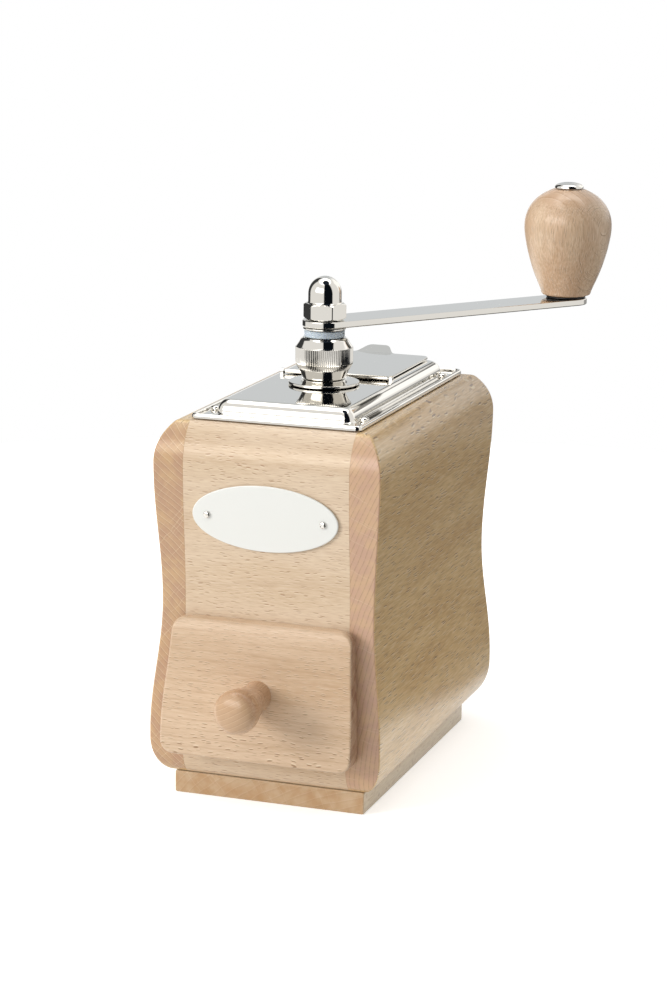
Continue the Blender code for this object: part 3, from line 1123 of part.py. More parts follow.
def main():
    clear_scene()
    make_materials()
    left, right, front = make_body()
    make_name_plate(front)
    make_top_plate(left, right)
    make_lid()
    axis = add_empty("mill_axis", (0.0, -AXIS_FRONT, 0.0))
    make_mechanism(left, right, axis)
    make_drawer()
    crank = add_empty("crank_axis", (0.0, -AXIS_FRONT, 0.0), CRANK_ANGLE)
    make_shaft(crank)
    make_inner_burr(crank)
    make_spring(crank)
    make_arm(crank)
    make_cap_nut(crank)
    make_grip(crank)
    make_adjusting_nut(crank)


main()
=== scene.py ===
# %% [markdown]
# # A hand cranked coffee mill in beech and polished nickel
#
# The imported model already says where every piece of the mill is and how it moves. This lesson dresses
# it. Each piece that shows is made again with a fine surface, in the place of its plain solid, and rides
# on the same body, so that the drawer still slides and the crank still turns.

from functools import partial
from math import atan2, cos, hypot, pi, radians, sin, sqrt

import bmesh
import bpy
from mathutils import Matrix, Vector


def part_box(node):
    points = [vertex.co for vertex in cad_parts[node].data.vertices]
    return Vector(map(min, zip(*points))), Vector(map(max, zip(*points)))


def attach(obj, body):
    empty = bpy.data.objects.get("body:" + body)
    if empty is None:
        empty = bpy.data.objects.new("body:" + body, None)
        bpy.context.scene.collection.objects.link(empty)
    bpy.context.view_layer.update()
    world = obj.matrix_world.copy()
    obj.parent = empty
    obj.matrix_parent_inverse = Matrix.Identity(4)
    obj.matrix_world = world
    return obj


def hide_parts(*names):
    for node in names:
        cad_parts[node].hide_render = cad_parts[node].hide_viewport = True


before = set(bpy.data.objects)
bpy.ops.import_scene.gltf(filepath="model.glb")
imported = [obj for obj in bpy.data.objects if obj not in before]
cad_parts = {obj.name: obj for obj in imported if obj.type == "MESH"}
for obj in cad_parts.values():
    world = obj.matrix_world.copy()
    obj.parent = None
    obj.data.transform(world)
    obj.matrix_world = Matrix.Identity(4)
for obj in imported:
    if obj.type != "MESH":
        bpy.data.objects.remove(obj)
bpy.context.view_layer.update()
MM = 0.001

# %% [markdown]
# ## The camera
#
# The photograph was taken from the right, a little above the mill. The camera's place and turn come from
# the plinth's edges, the circle of the crank and the upright shaft, whose real shapes are known.

# %% Set up the camera
CAMERA_PLACE = Vector((347.19, -1008.23, 345.04)) * MM
CAMERA_YAW = radians(18.94)
CAMERA_DOWN = radians(12.83)
CAMERA_ROLL = radians(0.787)
FOCAL_PIXELS = 2820.4
PHOTO_HEIGHT_PIXELS = 1000
SENSOR_MM = 36.0

camera = bpy.data.objects.new("camera", bpy.data.cameras.new("camera"))
bpy.context.scene.collection.objects.link(camera)
bpy.context.scene.camera = camera
camera.data.sensor_width = SENSOR_MM
camera.data.lens = SENSOR_MM * FOCAL_PIXELS / PHOTO_HEIGHT_PIXELS
camera.data.clip_start = 0.01
turn = Matrix.Rotation(CAMERA_YAW, 4, "Z") @ Matrix.Rotation(pi / 2 - CAMERA_DOWN, 4, "X")
camera.matrix_world = Matrix.Translation(CAMERA_PLACE) @ turn @ Matrix.Rotation(CAMERA_ROLL, 4, "Z")
print("lens", round(camera.data.lens, 2), "mm")

# %% [markdown]
# ## Colours and nodes
#
# Colours are picked as sRGB hex values, as a paint chart gives them, and one function turns them to the
# linear values that a shader works with. A second function adds a node with its settings and its links.
# The others put a few nodes together for what every material here needs: sums and products, a hump that
# rises and falls again, and colours laid over one another.

# %% Helpers for colours and nodes
MIX_A, MIX_B, MIX_RESULT = 6, 7, 2  # the colour sockets of a Mix node
SMOOTH = {"interpolation_type": "SMOOTHSTEP"}  # for a Map Range node: eased at both ends


def rgb(code):
    """The linear colour, with alpha 1, of an sRGB hex code."""
    parts = [int(code[i:i + 2], 16) / 255 for i in (1, 3, 5)]
    return (*[p / 12.92 if p <= 0.04045 else ((p + 0.055) / 1.055) ** 2.4 for p in parts], 1.0)


def put(tree, kind, *values, **settings):
    """Adds a node and gives its outputs. Its inputs are values or other nodes' outputs, in their order or
    in a dictionary by name or number, and its settings are keywords."""
    node = tree.nodes.new("ShaderNode" + kind)
    for key, value in settings.items():
        setattr(node, key, value)
    inputs = values[0] if values and isinstance(values[0], dict) else dict(enumerate(values))
    for key, value in inputs.items():
        if isinstance(value, bpy.types.NodeSocket):
            tree.links.new(value, node.inputs[key])
        else:
            node.inputs[key].default_value = value
    return node.outputs


def new_material(name):
    """An empty material, and put() made ready to add nodes to it."""
    made = bpy.data.materials.new(name)
    made.use_nodes = True
    made.node_tree.nodes.clear()
    return made, partial(put, made.node_tree)


def total_of(add, *terms):
    """Adds up terms; a term that is a tuple is the product of what it holds."""
    total = None
    for term in terms:
        first, *others = term if isinstance(term, tuple) else (term,)
        for other in others:
            first = add("Math", first, other, operation="MULTIPLY")[0]
        total = first if total is None else add("Math", total, first, operation="ADD")[0]
    return total


def hump(add, value, rise_from, rise_to, fall_from, fall_to):
    """0, then 1 from the end of the rise to the start of the fall, then 0 again."""
    rise = add("MapRange", value, rise_from, rise_to, 0.0, 1.0, **SMOOTH)[0]
    fall = add("MapRange", value, fall_from, fall_to, 1.0, 0.0, **SMOOTH)[0]
    return total_of(add, (rise, fall))


def painted(add, ground, *coats):
    """Lays colours over a ground, one after the other, each as far as its share says."""
    for share, colour in coats:
        ground = add("Mix", {0: share, MIX_A: ground, MIX_B: colour}, data_type="RGBA")[MIX_RESULT]
    return ground


def object_space(add):
    """The texture coordinates, and the point on the piece in millimetres."""
    where = add("TexCoord")
    return where, add("VectorMath", {0: where["Object"], "Scale": 1 / MM}, operation="SCALE")[0]


print("linear grey of #808080:", round(rgb("#808080")[0], 3))

# %% [markdown]
# ## Beech
#
# Beech is a pale, pinkish tan wood. These pieces were planed or turned, sanded and given a thin satin
# varnish, so the wood itself stays dull and a film over it does the shining. Its mark is the rays: thin
# sheets that run out from the middle of the tree. Cut along the tree they show as short dark flecks, each
# with a pale lip, and across it, on end grain, as fine lines that cross the yearly rings. Between them
# runs a fine streak of fibres. A flat picture of wood can't do all this, so this material is solid: it
# works out how far each point is from the middle of the tree and draws rings and rays in space. Every
# board then only needs its own grain direction and its own place in the tree.

# %% The beech material
RING_MM = 3.0  # a year's growth
FLECK_CELL_MM = (3.2, 0.8, 24.0)  # a fleck's room: along the grain, around the tree, out from its middle
FLECK_SHARES = (0.42, 0.17, 0.45)  # half a fleck in that room; a real ray is thinner, but wouldn't show
FIBRE_MM = (5.0, 0.5)  # along and across the grain, drawn coarser than real fibres so that they show
LIP_SHIFT = 1.7  # of a fleck's own half thickness
END_SLIM = 0.6  # rays on end grain are drawn thinner
END_FACING = (0.55, 0.85)  # how far a surface faces along the grain where it turns into end grain


def beech(name, grain, pith_mm, light="#E0C9AD", dark="#D6BC9C", end="#C9A584", ring="#A87F5C",
          fleck="#A47A5A", pale="#EEDDC5", ring_mm=RING_MM, warp_mm=2.4, cell_mm=FLECK_CELL_MM, mark=0.8,
          band=0.10, end_ring=0.5, end_line=0.25, end_ray=0.35, fibre_mm=FIBRE_MM, streak=0.2):
    """Beech with its grain along an axis; the pith is the tree's middle in the plane across it."""
    made, add = new_material(name)
    total = partial(total_of, add)
    where, mm = object_space(add)
    axes = add("SeparateXYZ", mm)
    across = [axis for axis in (0, 1, 2) if axis != grain]

    def noise(along_mm, across_mm):
        """Clouds from 0 to 1 that are stretched along the grain."""
        scale = [1 / across_mm] * 3
        scale[grain] = 1 / along_mm
        stretched = add("VectorMath", mm, scale, operation="MULTIPLY")[0]
        return add("TexNoise", {"Vector": stretched, "Scale": 1.0, "Detail": 2.0})["Fac"]

    def drift(along_mm, across_mm, reach_mm):
        """A slow wandering, in millimetres, that keeps rings and rows of flecks from running straight."""
        return total((noise(along_mm, across_mm), 2 * reach_mm), -reach_mm)

    # Each point's place in the tree: along it, around it and out from its middle
    u, v = (total(axes[axis], -pith) for axis, pith in zip(across, pith_mm))
    length = add("VectorMath", add("CombineXYZ", u, v, 0.0)[0], operation="LENGTH")["Value"]
    radius = total(length, drift(120.0, 22.0, warp_mm))
    arc = total((add("Math", u, v, operation="ARCTAN2")[0], hypot(*pith_mm)), drift(14.0, 7.0, 1.1))
    in_tree = add("CombineXYZ", axes[grain], arc, radius)[0]

    # Rays
    scaled = add("VectorMath", in_tree, [1 / size for size in cell_mm], operation="MULTIPLY")[0]
    cells = add("TexVoronoi", {"Vector": scaled, "Scale": 1.0}, voronoi_dimensions="3D")
    away = add("VectorMath", scaled, cells["Position"], operation="SUBTRACT")[0]
    chance = add("SeparateColor", cells["Color"])

    def ray(shift=0.0, slim=1.0):
        """One flat ellipsoid to a cell, shifted around the tree by a share of its own thickness."""
        along, thick, out = FLECK_SHARES
        beside = add("VectorMath", away, (0.0, shift * thick, 0.0), operation="ADD")[0]
        sizes = (1 / along, 1 / (thick * slim), 1 / out)
        sized = add("VectorMath", beside, sizes, operation="MULTIPLY")[0]
        off = add("VectorMath", sized, operation="LENGTH")["Value"]
        return add("MapRange", off, 0.6, 1.0, 1.0, 0.0, **SMOOTH)[0]

    crowd = add("MapRange", noise(16.0, 5.0), 0.36, 0.58, 0.6, 1.0, **SMOOTH)[0]
    strong = add("MapRange", chance[0], 0.0, 0.8, 0.25, 1.0, **SMOOTH)[0]
    on_end_strong = add("MapRange", chance[1], 0.35, 0.8, **SMOOTH)[0]
    dark_ray, pale_ray = (total((ray(shift), strong, crowd)) for shift in (0.0, LIP_SHIFT))
    end_rays = total((ray(slim=END_SLIM), on_end_strong))

    # A year ends in dark late wood, and the next one starts with a pale line
    year = add("Math", total((radius, 1 / ring_mm)), operation="FRACT")[0]
    late = hump(add, year, 0.66, 0.94, 0.95, 1.0)
    first = hump(add, year, 0.0, 0.02, 0.04, 0.11)
    patches = add("TexNoise", {"Vector": in_tree, "Scale": 0.9, "Detail": 1.0})["Fac"]
    broken = add("MapRange", patches, 0.35, 0.6, 0.45, 1.0, **SMOOTH)[0]
    fibre = noise(*fibre_mm)

    tone = painted(
        add, rgb(light),
        (add("MapRange", noise(90.0, 16.0), 0.32, 0.68, 0.0, 1.0, **SMOOTH)[0], rgb(dark)),
        (total((late, band)), rgb(ring)),
        (add("MapRange", fibre, 0.45, 0.72, 0.0, streak, **SMOOTH)[0], rgb(fleck)),
        (add("MapRange", fibre, 0.28, 0.48, streak * 1.2, 0.0, **SMOOTH)[0], rgb(pale)),
        (total((pale_ray, mark * 0.7)), rgb(pale)),
        (total((dark_ray, mark)), rgb(fleck)))
    end_tone = painted(
        add, rgb(end),
        (add("MapRange", noise(30.0, 5.0), 0.3, 0.7, 0.0, 0.35, **SMOOTH)[0], rgb(light)),
        (total((late, broken, end_ring)), rgb(ring)),
        (total((first, end_line)), rgb(pale)),
        (total((end_rays, end_ray)), rgb(pale)))
    facing = add("Math", add("SeparateXYZ", where["Normal"])[grain], operation="ABSOLUTE")[0]
    colour = painted(add, tone, (add("MapRange", facing, *END_FACING, 0.0, 1.0, **SMOOTH)[0], end_tone))

    bump = add("Bump", {"Height": total((fibre, 0.5), (dark_ray, -1.0)), "Distance": 0.04 * MM,
                        "Strength": 0.4})[0]
    shader = add("BsdfPrincipled", {
        "Base Color": colour, "Roughness": add("MapRange", fibre, 0.3, 0.8, 0.50, 0.62, **SMOOTH)[0],
        "IOR": 1.5, "Specular IOR Level": 0.15, "Normal": bump,
        "Coat Weight": 0.85, "Coat Roughness": 0.2, "Coat IOR": 1.5, "Coat Normal": bump,
    })
    add("OutputMaterial", shader[0])
    return made


fleck_long = 2 * FLECK_CELL_MM[0] * FLECK_SHARES[0]
print("beech: rings", RING_MM, "mm apart, flecks", round(fleck_long, 1), "mm long")

# %% [markdown]
# ## Metals and the small pieces
#
# The top, the crank and the nuts are steel, polished and then nickel plated, so they mirror the studio
# with hardly any blur. What betrays the sheet is a very slight waviness and a haze of fine wipe marks,
# which come from bump and roughness. The hidden steel is only ground, which leaves it grey and matt.

# %% Metal materials


def metal(name, colour, low_rough, high_rough, smear_mm, wave_mm, wave_height_mm, stretch=1.0):
    """A bare or plated metal whose roughness drifts in smears and whose surface waves slightly."""
    made, add = new_material(name)
    mm = object_space(add)[1]
    lengthened = add("VectorMath", mm, (1.0, 1.0 / stretch, 1.0), operation="MULTIPLY")[0]
    smear = add("TexNoise", {"Vector": lengthened, "Scale": 1 / smear_mm, "Detail": 5.0})["Fac"]
    wave = add("TexNoise", {"Vector": mm, "Scale": 1 / wave_mm, "Detail": 1.0})["Fac"]
    shader = add("BsdfPrincipled", {
        "Base Color": rgb(colour), "Metallic": 1.0,
        "Roughness": add("MapRange", smear, 0.3, 0.75, low_rough, high_rough)[0],
        "Normal": add("Bump", {"Height": wave, "Distance": wave_height_mm * MM, "Strength": 1.0})[0],
    })
    add("OutputMaterial", shader[0])
    return made


POLISHED_NICKEL = metal("polished_nickel_plate", "#DFDCD6", 0.03, 0.08, 9.0, 16.0, 0.012)
GROUND_STEEL = metal("ground_steel", "#B9BCBE", 0.26, 0.40, 3.0, 5.0, 0.02, stretch=8.0)
CAST_STEEL = metal("sintered_burr_steel", "#5E6062", 0.42, 0.60, 1.2, 0.8, 0.05)
BRASS = metal("turned_brass", "#C9A55C", 0.18, 0.30, 2.0, 4.0, 0.01)
print("metals:", POLISHED_NICKEL.name, GROUND_STEEL.name, CAST_STEEL.name, BRASS.name)

# %% [markdown]
# The white plate is enamelled: a hard glossy coat over a thin metal sheet, with the faint ripple that
# baked enamel has. The washer on the nut is moulded nylon, milky and slightly blue, which lets a little
# light in. The washer under the knob is black vulcanised fibre.

# %% Enamel, nylon and fibre


def moulded(name, colour, roughness, grain_mm, grain_height_mm, coat=0.0, milky=0.0):
    """A plastic or enamel of even colour with a fine surface grain; milky lets light in under the skin."""
    made, add = new_material(name)
    grain = add("TexNoise", {"Vector": object_space(add)[1], "Scale": 1 / grain_mm, "Detail": 3.0})["Fac"]
    shader = add("BsdfPrincipled", {
        "Base Color": rgb(colour), "IOR": 1.5,
        "Roughness": add("MapRange", grain, 0.3, 0.7, roughness * 0.85, roughness * 1.15)[0],
        "Normal": add("Bump", {"Height": grain, "Distance": grain_height_mm * MM, "Strength": 1.0})[0],
        "Coat Weight": coat, "Coat Roughness": 0.08, "Subsurface Weight": milky,
        "Subsurface Radius": (0.7, 0.8, 1.0), "Subsurface Scale": 1.0 * MM,
    })
    add("OutputMaterial", shader[0])
    return made


WHITE_ENAMEL = moulded("white_enamel", "#EDEDE8", 0.22, 6.0, 0.010, coat=0.4)
NYLON = moulded("moulded_nylon", "#C4CFD8", 0.38, 0.6, 0.004, milky=0.35)
BLACK_FIBRE = moulded("vulcanised_fibre", "#24211F", 0.55, 0.4, 0.010)
print("small pieces:", WHITE_ENAMEL.name, NYLON.name, BLACK_FIBRE.name)

# %% [markdown]
# ## Making pieces
#
# Nearly every piece here is a stack of rings: a turned knob's rings are circles, a panel's are its cross
# section at rising heights. One function joins the rings to a closed skin. Others turn a profile about an
# axis, round a corner and ease an edge, and the last one places the finished mesh, shades it smooth, puts
# it on its body and hides the plain solid it stands for.

# %% Helpers that make meshes


def closed(loops, hollow=False):
    """A mesh and its loops of vertices, each joined to the next with four sided faces."""
    bm = bmesh.new()
    loops = [[bm.verts.new(point) for point in loop] for loop in loops]
    for one, two in zip(loops, loops[1:] + loops[:1] if hollow else loops[1:]):
        for i, start in enumerate(one):
            j = (i + 1) % len(one)
            bm.faces.new((start, one[j], two[j], two[i]))
    return bm, loops


def loft(rings, hollow=False):
    """A closed skin through rings of points, capped, or joined last to first where it is hollow."""
    bm, loops = closed(rings, hollow)
    if not hollow:
        bm.faces.new(loops[0][::-1])
        bm.faces.new(loops[-1])
    return bm


def slab(layers):
    """A closed skin through outlines of rows (half width, y, z); its two faces are strips across."""
    bm, loops = closed([rows + [(-x, y, z) for x, y, z in reversed(rows)] for rows in layers])
    for loop in (loops[0], loops[-1]):
        for i in range(len(loop) // 2 - 1):
            bm.faces.new((loop[i], loop[i + 1], loop[-i - 2], loop[-i - 1]))
    return bm


def around(reach, z, steps, start=0.0):
    """A ring of points whose distance from the axis is reach(number, turn)."""
    points = []
    for i in range(steps):
        angle = 2 * pi * i / steps
        out = reach(i, angle)
        points.append((out * cos(angle + start), out * sin(angle + start), z))
    return points


def turned(profile, steps=96, hollow=False):
    """A solid turned about Z from a profile of (radius, z)."""
    return loft([around(lambda i, angle, r=max(r, 1e-6): r, z, steps) for r, z in profile], hollow)


def smooth_curve(points, fine=6):
    """A Catmull-Rom curve through points, with a number of steps to each span."""
    def at(t, p, q, r, s):
        bend, swing = 2 * p - 5 * q + 4 * r - s, 3 * q - p - 3 * r + s
        return 0.5 * (2 * q + (r - p) * t + bend * t * t + swing * t ** 3)

    ends = [points[0], *points, points[-1]]
    curve = [tuple(at(i / fine, *numbers) for numbers in zip(*span))
             for span in zip(ends, ends[1:], ends[2:], ends[3:]) for i in range(fine)]
    return curve + [points[-1]]


def spread(low, high, count):
    """Numbers from low to high in a count of even steps."""
    return [low + (high - low) * i / count for i in range(count + 1)]


def eased_edge(radius, count):
    """A rounded edge as (how far in, how far up), from the foot to where it is upright."""
    return [(radius * (1 - sin(angle)), radius * (1 - cos(angle))) for angle in spread(0.0, pi / 2, count)]


def corner(x, y, radius, start, steps=5):
    """Points of a rounded corner about a centre, over a quarter turn."""
    return [(x + radius * cos(angle), y + radius * sin(angle))
            for angle in spread(start, start + pi / 2, steps)]


def block(low, high, ease=0.0, segments=3):
    """A board between two corners with its edges rounded."""
    bm = bmesh.new()
    bmesh.ops.create_cube(bm, size=1.0)
    middle, size = (Vector(low) + Vector(high)) / 2, Vector(high) - Vector(low)
    moved(bm, Matrix.Translation(middle) @ Matrix.Diagonal((*size, 1.0)))
    if ease:
        bmesh.ops.bevel(bm, geom=bm.edges[:] + bm.verts[:], offset=ease, segments=segments,
                        affect="EDGES", profile=0.5)
    return bm


def moved(bm, matrix):
    bmesh.ops.transform(bm, matrix=matrix, verts=bm.verts)
    return bm


print("a ring of four:", [tuple(round(c, 2) for c in p) for p in around(lambda i, angle: 1.0, 0.0, 4)])

# %% Helpers that place pieces


def in_scene(name, bm):
    """Turns mesh code's result into an object."""
    bmesh.ops.recalc_face_normals(bm, faces=bm.faces)
    piece = bpy.data.objects.new(name, bpy.data.meshes.new(name))
    bm.to_mesh(piece.data)
    bm.free()
    bpy.context.scene.collection.objects.link(piece)
    return piece


def cut(piece, bm, operation="DIFFERENCE"):
    """Cuts a shape out of a piece, or joins it on, for good."""
    tool = in_scene("tool", bm)
    modifier = piece.modifiers.new("cut", "BOOLEAN")
    modifier.object = tool
    modifier.operation = operation
    modifier.solver = "EXACT"
    graph = bpy.context.evaluated_depsgraph_get()
    result = bpy.data.meshes.new_from_object(piece.evaluated_get(graph))
    piece.modifiers.remove(modifier)
    old = piece.data
    piece.data = result
    bpy.data.meshes.remove(old)
    bpy.data.objects.remove(tool)


def show(name, bm, material, body, slot, *nodes, cuts=(), joins=(), sharp=32):
    """Makes the piece, cuts it, shades it, and lets it ride on a body in place of its CAD nodes."""
    piece = in_scene(name, bm)
    piece.data.materials.append(material)
    for tool in joins:
        cut(piece, tool, "UNION")
    for tool in cuts:
        cut(piece, tool)
    piece.data.name = name
    piece.data.shade_smooth()
    piece.data.set_sharp_from_angle(angle=radians(sharp))
    weighted = piece.modifiers.new("weighted_normals", "WEIGHTED_NORMAL")
    weighted.keep_sharp = True
    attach(piece, body)
    if nodes:
        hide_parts(*nodes)
    return piece


print("small screws and pins to shade:", sum("_screw" in name or "_pin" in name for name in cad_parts))

# %% [markdown]
# ## The body's outline
#
# Seen from the front and from the side the body has the same waisted outline: a rounded foot, a bulge, a
# waist and shoulders that roll in under the metal top. One formula gives the half width or the half depth
# at any height, and the panels, the drawer front and the oval plate all read it.

# %% The outline formula
UNDER_ROUND, BULGE, WAIST = 14.0 * MM, 16.6 * MM, 66.7 * MM  # heights above the body's underside
SHOULDER_DROP = 15.1 * MM  # below its top
WIDTHS = (36.8 * MM, 45.4 * MM, 41.6 * MM, 44.1 * MM, 37.4 * MM)  # under, bulge, waist, shoulder and top
DEPTHS = (65.9 * MM, 73.1 * MM, 70.0 * MM, 73.1 * MM, 66.0 * MM)
body_low, body_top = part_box("front_panel")[0].z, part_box("front_panel")[1].z
body_height = body_top - body_low
shoulder_height = body_height - SHOULDER_DROP


def body_half(sizes, z):
    """Half width or half depth of the body at a height in the frame."""
    under, bulge, waist, shoulder, top = sizes
    height = min(max(z - body_low, 0.0), body_height)
    if height < UNDER_ROUND:
        fall = 1.0 - height / UNDER_ROUND
        return under + (bulge - under) * sqrt(max(0.0, 1.0 - fall * fall))
    if height < BULGE:
        return bulge
    if height < WAIST:
        return waist + (bulge - waist) * (1.0 + cos(pi * (height - BULGE) / (WAIST - BULGE))) / 2
    if height < shoulder_height:
        swing = pi * (height - WAIST) / (shoulder_height - WAIST)
        return waist + (shoulder - waist) * (1.0 - cos(swing)) / 2
    drop = shoulder - top
    curvature = 2 * drop / (SHOULDER_DROP ** 2 + drop * drop)
    climb = height - shoulder_height
    return shoulder - curvature * climb * climb / (1.0 + sqrt(max(0.0, 1.0 - (curvature * climb) ** 2)))


half_width, half_depth = partial(body_half, WIDTHS), partial(body_half, DEPTHS)


def body_levels(ease=0.0):
    """Heights up the body, closer together where it curves and in its eased top and bottom edges."""
    heights = [UNDER_ROUND * (1.0 - cos(pi / 2 * i / 14)) for i in range(1, 15)]
    heights += spread(BULGE, WAIST, 18) + spread(WAIST, shoulder_height, 18)[1:]
    heights += spread(shoulder_height, body_height, 14)[1:-1]
    edge = [up for _, up in eased_edge(ease, 4)]
    heights = [h for h in heights if ease < h < body_height - ease]
    return [body_low + h for h in edge + heights + [body_height - e for e in reversed(edge)]]


def eased(z, ease):
    """How far an edge that is rounded by ease has drawn in near the body's top or underside."""
    near = min(z - body_low, body_top - z)
    return ease - sqrt(max(0.0, ease * ease - (ease - near) ** 2)) if near < ease else 0.0


waist_wide = 2 * half_width(body_low + WAIST)
print("body", round(body_height / MM, 1), "mm high, waist", round(waist_wide / MM, 1), "mm")

# %% [markdown]
# ## The panels
#
# The two side panels are thick boards with their grain running from front to back. That is why their
# narrow front edges, left and right of the drawer, show end grain with rings and rays. The front and back
# panels are let in between them with their grain across. All were shaped together after gluing, so their
# faces run on into each other and only a hairline shows at the joints. The sides' beech is drawn yellower
# than the front's, a tint that is painted shade for the right side's half shade; it has longer flecks,
# and each side's boards come from another place in the tree.

# %% Side panels
PANEL_EDGE = 0.8 * MM
SEAM_EASE = 0.04 * MM
SEAM_HALF = 0.01 * MM  # half of the hairline that the glued joint leaves
front_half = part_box("front_panel")[1].x
seam = front_half + 0.15 * MM
inner_depth = abs(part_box("mechanism_board")[0].y)
inner_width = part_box("mechanism_board")[1].x + 0.3 * MM
# the sides' light and dark tones are yellower than the front's: painted shade for the right side's half
# shade, used on both sides
SIDE_LOOK_SHADE_TINTED = {"light": "#DDBB86", "dark": "#CFAA74", "pale": "#F3E2BE", "warp_mm": 1.6,
             "cell_mm": (7.0, 1.0, 24.0), "mark": 0.95, "band": 0.06, "fibre_mm": (9.0, 0.55),
             "streak": 0.25}
SIDE_RIGHT_BEECH = beech("beech_side_right", 1, (323.0, -17.0), fleck="#66462A", end="#C6A087",
                         ring="#93704F", ring_mm=1.8, end_ring=0.45, end_line=0.05, end_ray=0.3,
                         **SIDE_LOOK_SHADE_TINTED)
SIDE_LEFT_BEECH = beech("beech_side_left", 1, (-300.0, -215.0), fleck="#5C4122", end="#BC9678",
                        ring="#987150", ring_mm=2.1, end_ring=0.35, end_line=0.5, end_ray=0.35,
                        **SIDE_LOOK_SHADE_TINTED)


def side_panel(side):
    near = seam + SEAM_HALF
    rings = []
    for z in body_levels(PANEL_EDGE):
        wide, deep = (half(z) - eased(z, PANEL_EDGE) for half in (half_width, half_depth))
        x, y = wide - PANEL_EDGE, deep - PANEL_EDGE
        points = [(near, -deep + SEAM_EASE), (near + SEAM_EASE, -deep)]
        points += corner(x, -y, PANEL_EDGE, -pi / 2) + corner(x, y, PANEL_EDGE, 0.0)
        points += [(near + SEAM_EASE, deep), (near, deep - SEAM_EASE), (near, inner_depth),
                   (inner_width, inner_depth), (inner_width, -inner_depth), (near, -inner_depth)]
        rings.append([(side * px, py, z) for px, py in points])
    return loft(rings)


show("side_panel_right_beech", side_panel(1), SIDE_RIGHT_BEECH, "housing", "beech", "side_panel_right")
show("side_panel_left_beech", side_panel(-1), SIDE_LEFT_BEECH, "housing", "beech", "side_panel_left")
print("side panels: hairline at x =", round(seam / MM, 2), "mm")

# %% Front and back panels
FRONT_BEECH = beech("beech_front", 0, (150.0, 60.0))
BACK_BEECH = beech("beech_back", 0, (-170.0, 100.0))
WINDOW_SILL, WINDOW_HEIGHT = 14.2 * MM, 44.0 * MM
OVERRUN = 2.0 * MM  # how far a cutting shape reaches past what it cuts
window_low = body_low + WINDOW_SILL
window_top = window_low + WINDOW_HEIGHT


def end_panel(side):
    half = seam - SEAM_HALF
    rings = []
    for z in body_levels(PANEL_EDGE):
        deep = half_depth(z) - eased(z, PANEL_EDGE)
        right = [(half - SEAM_EASE, deep), (half, deep - SEAM_EASE), (half, inner_depth)]
        left = [(-x, y) for x, y in reversed(right)]
        rings.append([(x, side * y, z) for x, y in left + right])
    return loft(rings)


window = block((-inner_width, -DEPTHS[1] - OVERRUN, window_low),
               (inner_width, -inner_depth + OVERRUN, window_top))
show("front_panel_beech", end_panel(-1), FRONT_BEECH, "housing", "beech", "front_panel", cuts=[window])
show("back_panel_beech", end_panel(1), BACK_BEECH, "housing", "beech", "back_panel")
print("window", round((window_top - window_low) / MM, 1), "mm high")

# %% [markdown]
# ## The plinth
#
# The body stands on a thinner board, with its grain from front to back, so that its front edge is end
# grain. Its rear corners are rounded. Four countersunk screws go up through it into the side panels.

# %% Plinth
# its tones are paler than the other boards': partly the board's own tone, partly painted light for the
# floor's bounce on its side
PLINTH_BEECH = beech("beech_plinth", 1, (60.0, -95.0), light="#E4D3B6", dark="#DCC8A6", end="#BE9970",
                     mark=0.4, end_ring=0.22, end_line=0.15, end_ray=0.25)
PLINTH_REAR_RADIUS = 8.0 * MM
PLINTH_EDGE = 0.6 * MM
SCREW_ROOM = 0.3 * MM  # around a countersunk head
plinth_low, plinth_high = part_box("base_plinth")


def rounded(half, front, rear, front_radius, rear_radius, z, steps=12, front_steps=12):
    """A rectangle about the Y axis with rounded corners, from the front right corner round."""
    small, large = max(front_radius, 0.05 * MM), max(rear_radius, 0.05 * MM)
    points = corner(half - small, front + small, small, -pi / 2, front_steps)
    points += corner(half - large, rear - large, large, 0.0, steps)
    points += corner(-half + large, rear - large, large, pi / 2, steps)
    points += corner(-half + small, front + small, small, pi, front_steps)
    return [(x, y, z) for x, y in points]


def plinth():
    def ring(inset, z):
        return rounded(plinth_high.x - inset, plinth_low.y + inset, plinth_high.y - inset, PLINTH_EDGE,
                       PLINTH_REAR_RADIUS - inset, z, front_steps=3)

    edge = eased_edge(PLINTH_EDGE, 4)
    rings = [ring(inset, plinth_low.z + rise) for inset, rise in edge]
    return loft(rings + [ring(inset, plinth_high.z - rise) for inset, rise in reversed(edge)])


def recess(node):
    low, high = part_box(node)
    middle, wide = (low + high) / 2, (high.x - low.x) / 2 + SCREW_ROOM
    slim = wide * 0.55
    hole = turned([(wide, low.z - 3 * MM), (wide, low.z + 2.6 * MM), (slim, low.z + 3.2 * MM),
                   (slim, plinth_high.z + OVERRUN)], steps=32)
    return moved(hole, Matrix.Translation((middle.x, middle.y, 0.0)))


recesses = [recess(f"plinth_screw_{i}") for i in (1, 2, 3, 4)]
show("base_plinth_beech", plinth(), PLINTH_BEECH, "housing", "beech", "base_plinth", cuts=recesses)
print("plinth", [round(c / MM, 1) for c in plinth_high - plinth_low], "mm")

# %% [markdown]
# ## The drawer
#
# The drawer front laps over the window like a thick plate. It follows the body's outline from side to
# side and from bottom to top, its corners are rounded, and its face falls back a little near the top,
# where it catches more light. At its two sides it stands off the body, so that a dark line shows there.
# Those sides are end grain, drawn much darker than its face: partly their own tone, partly painted shade.

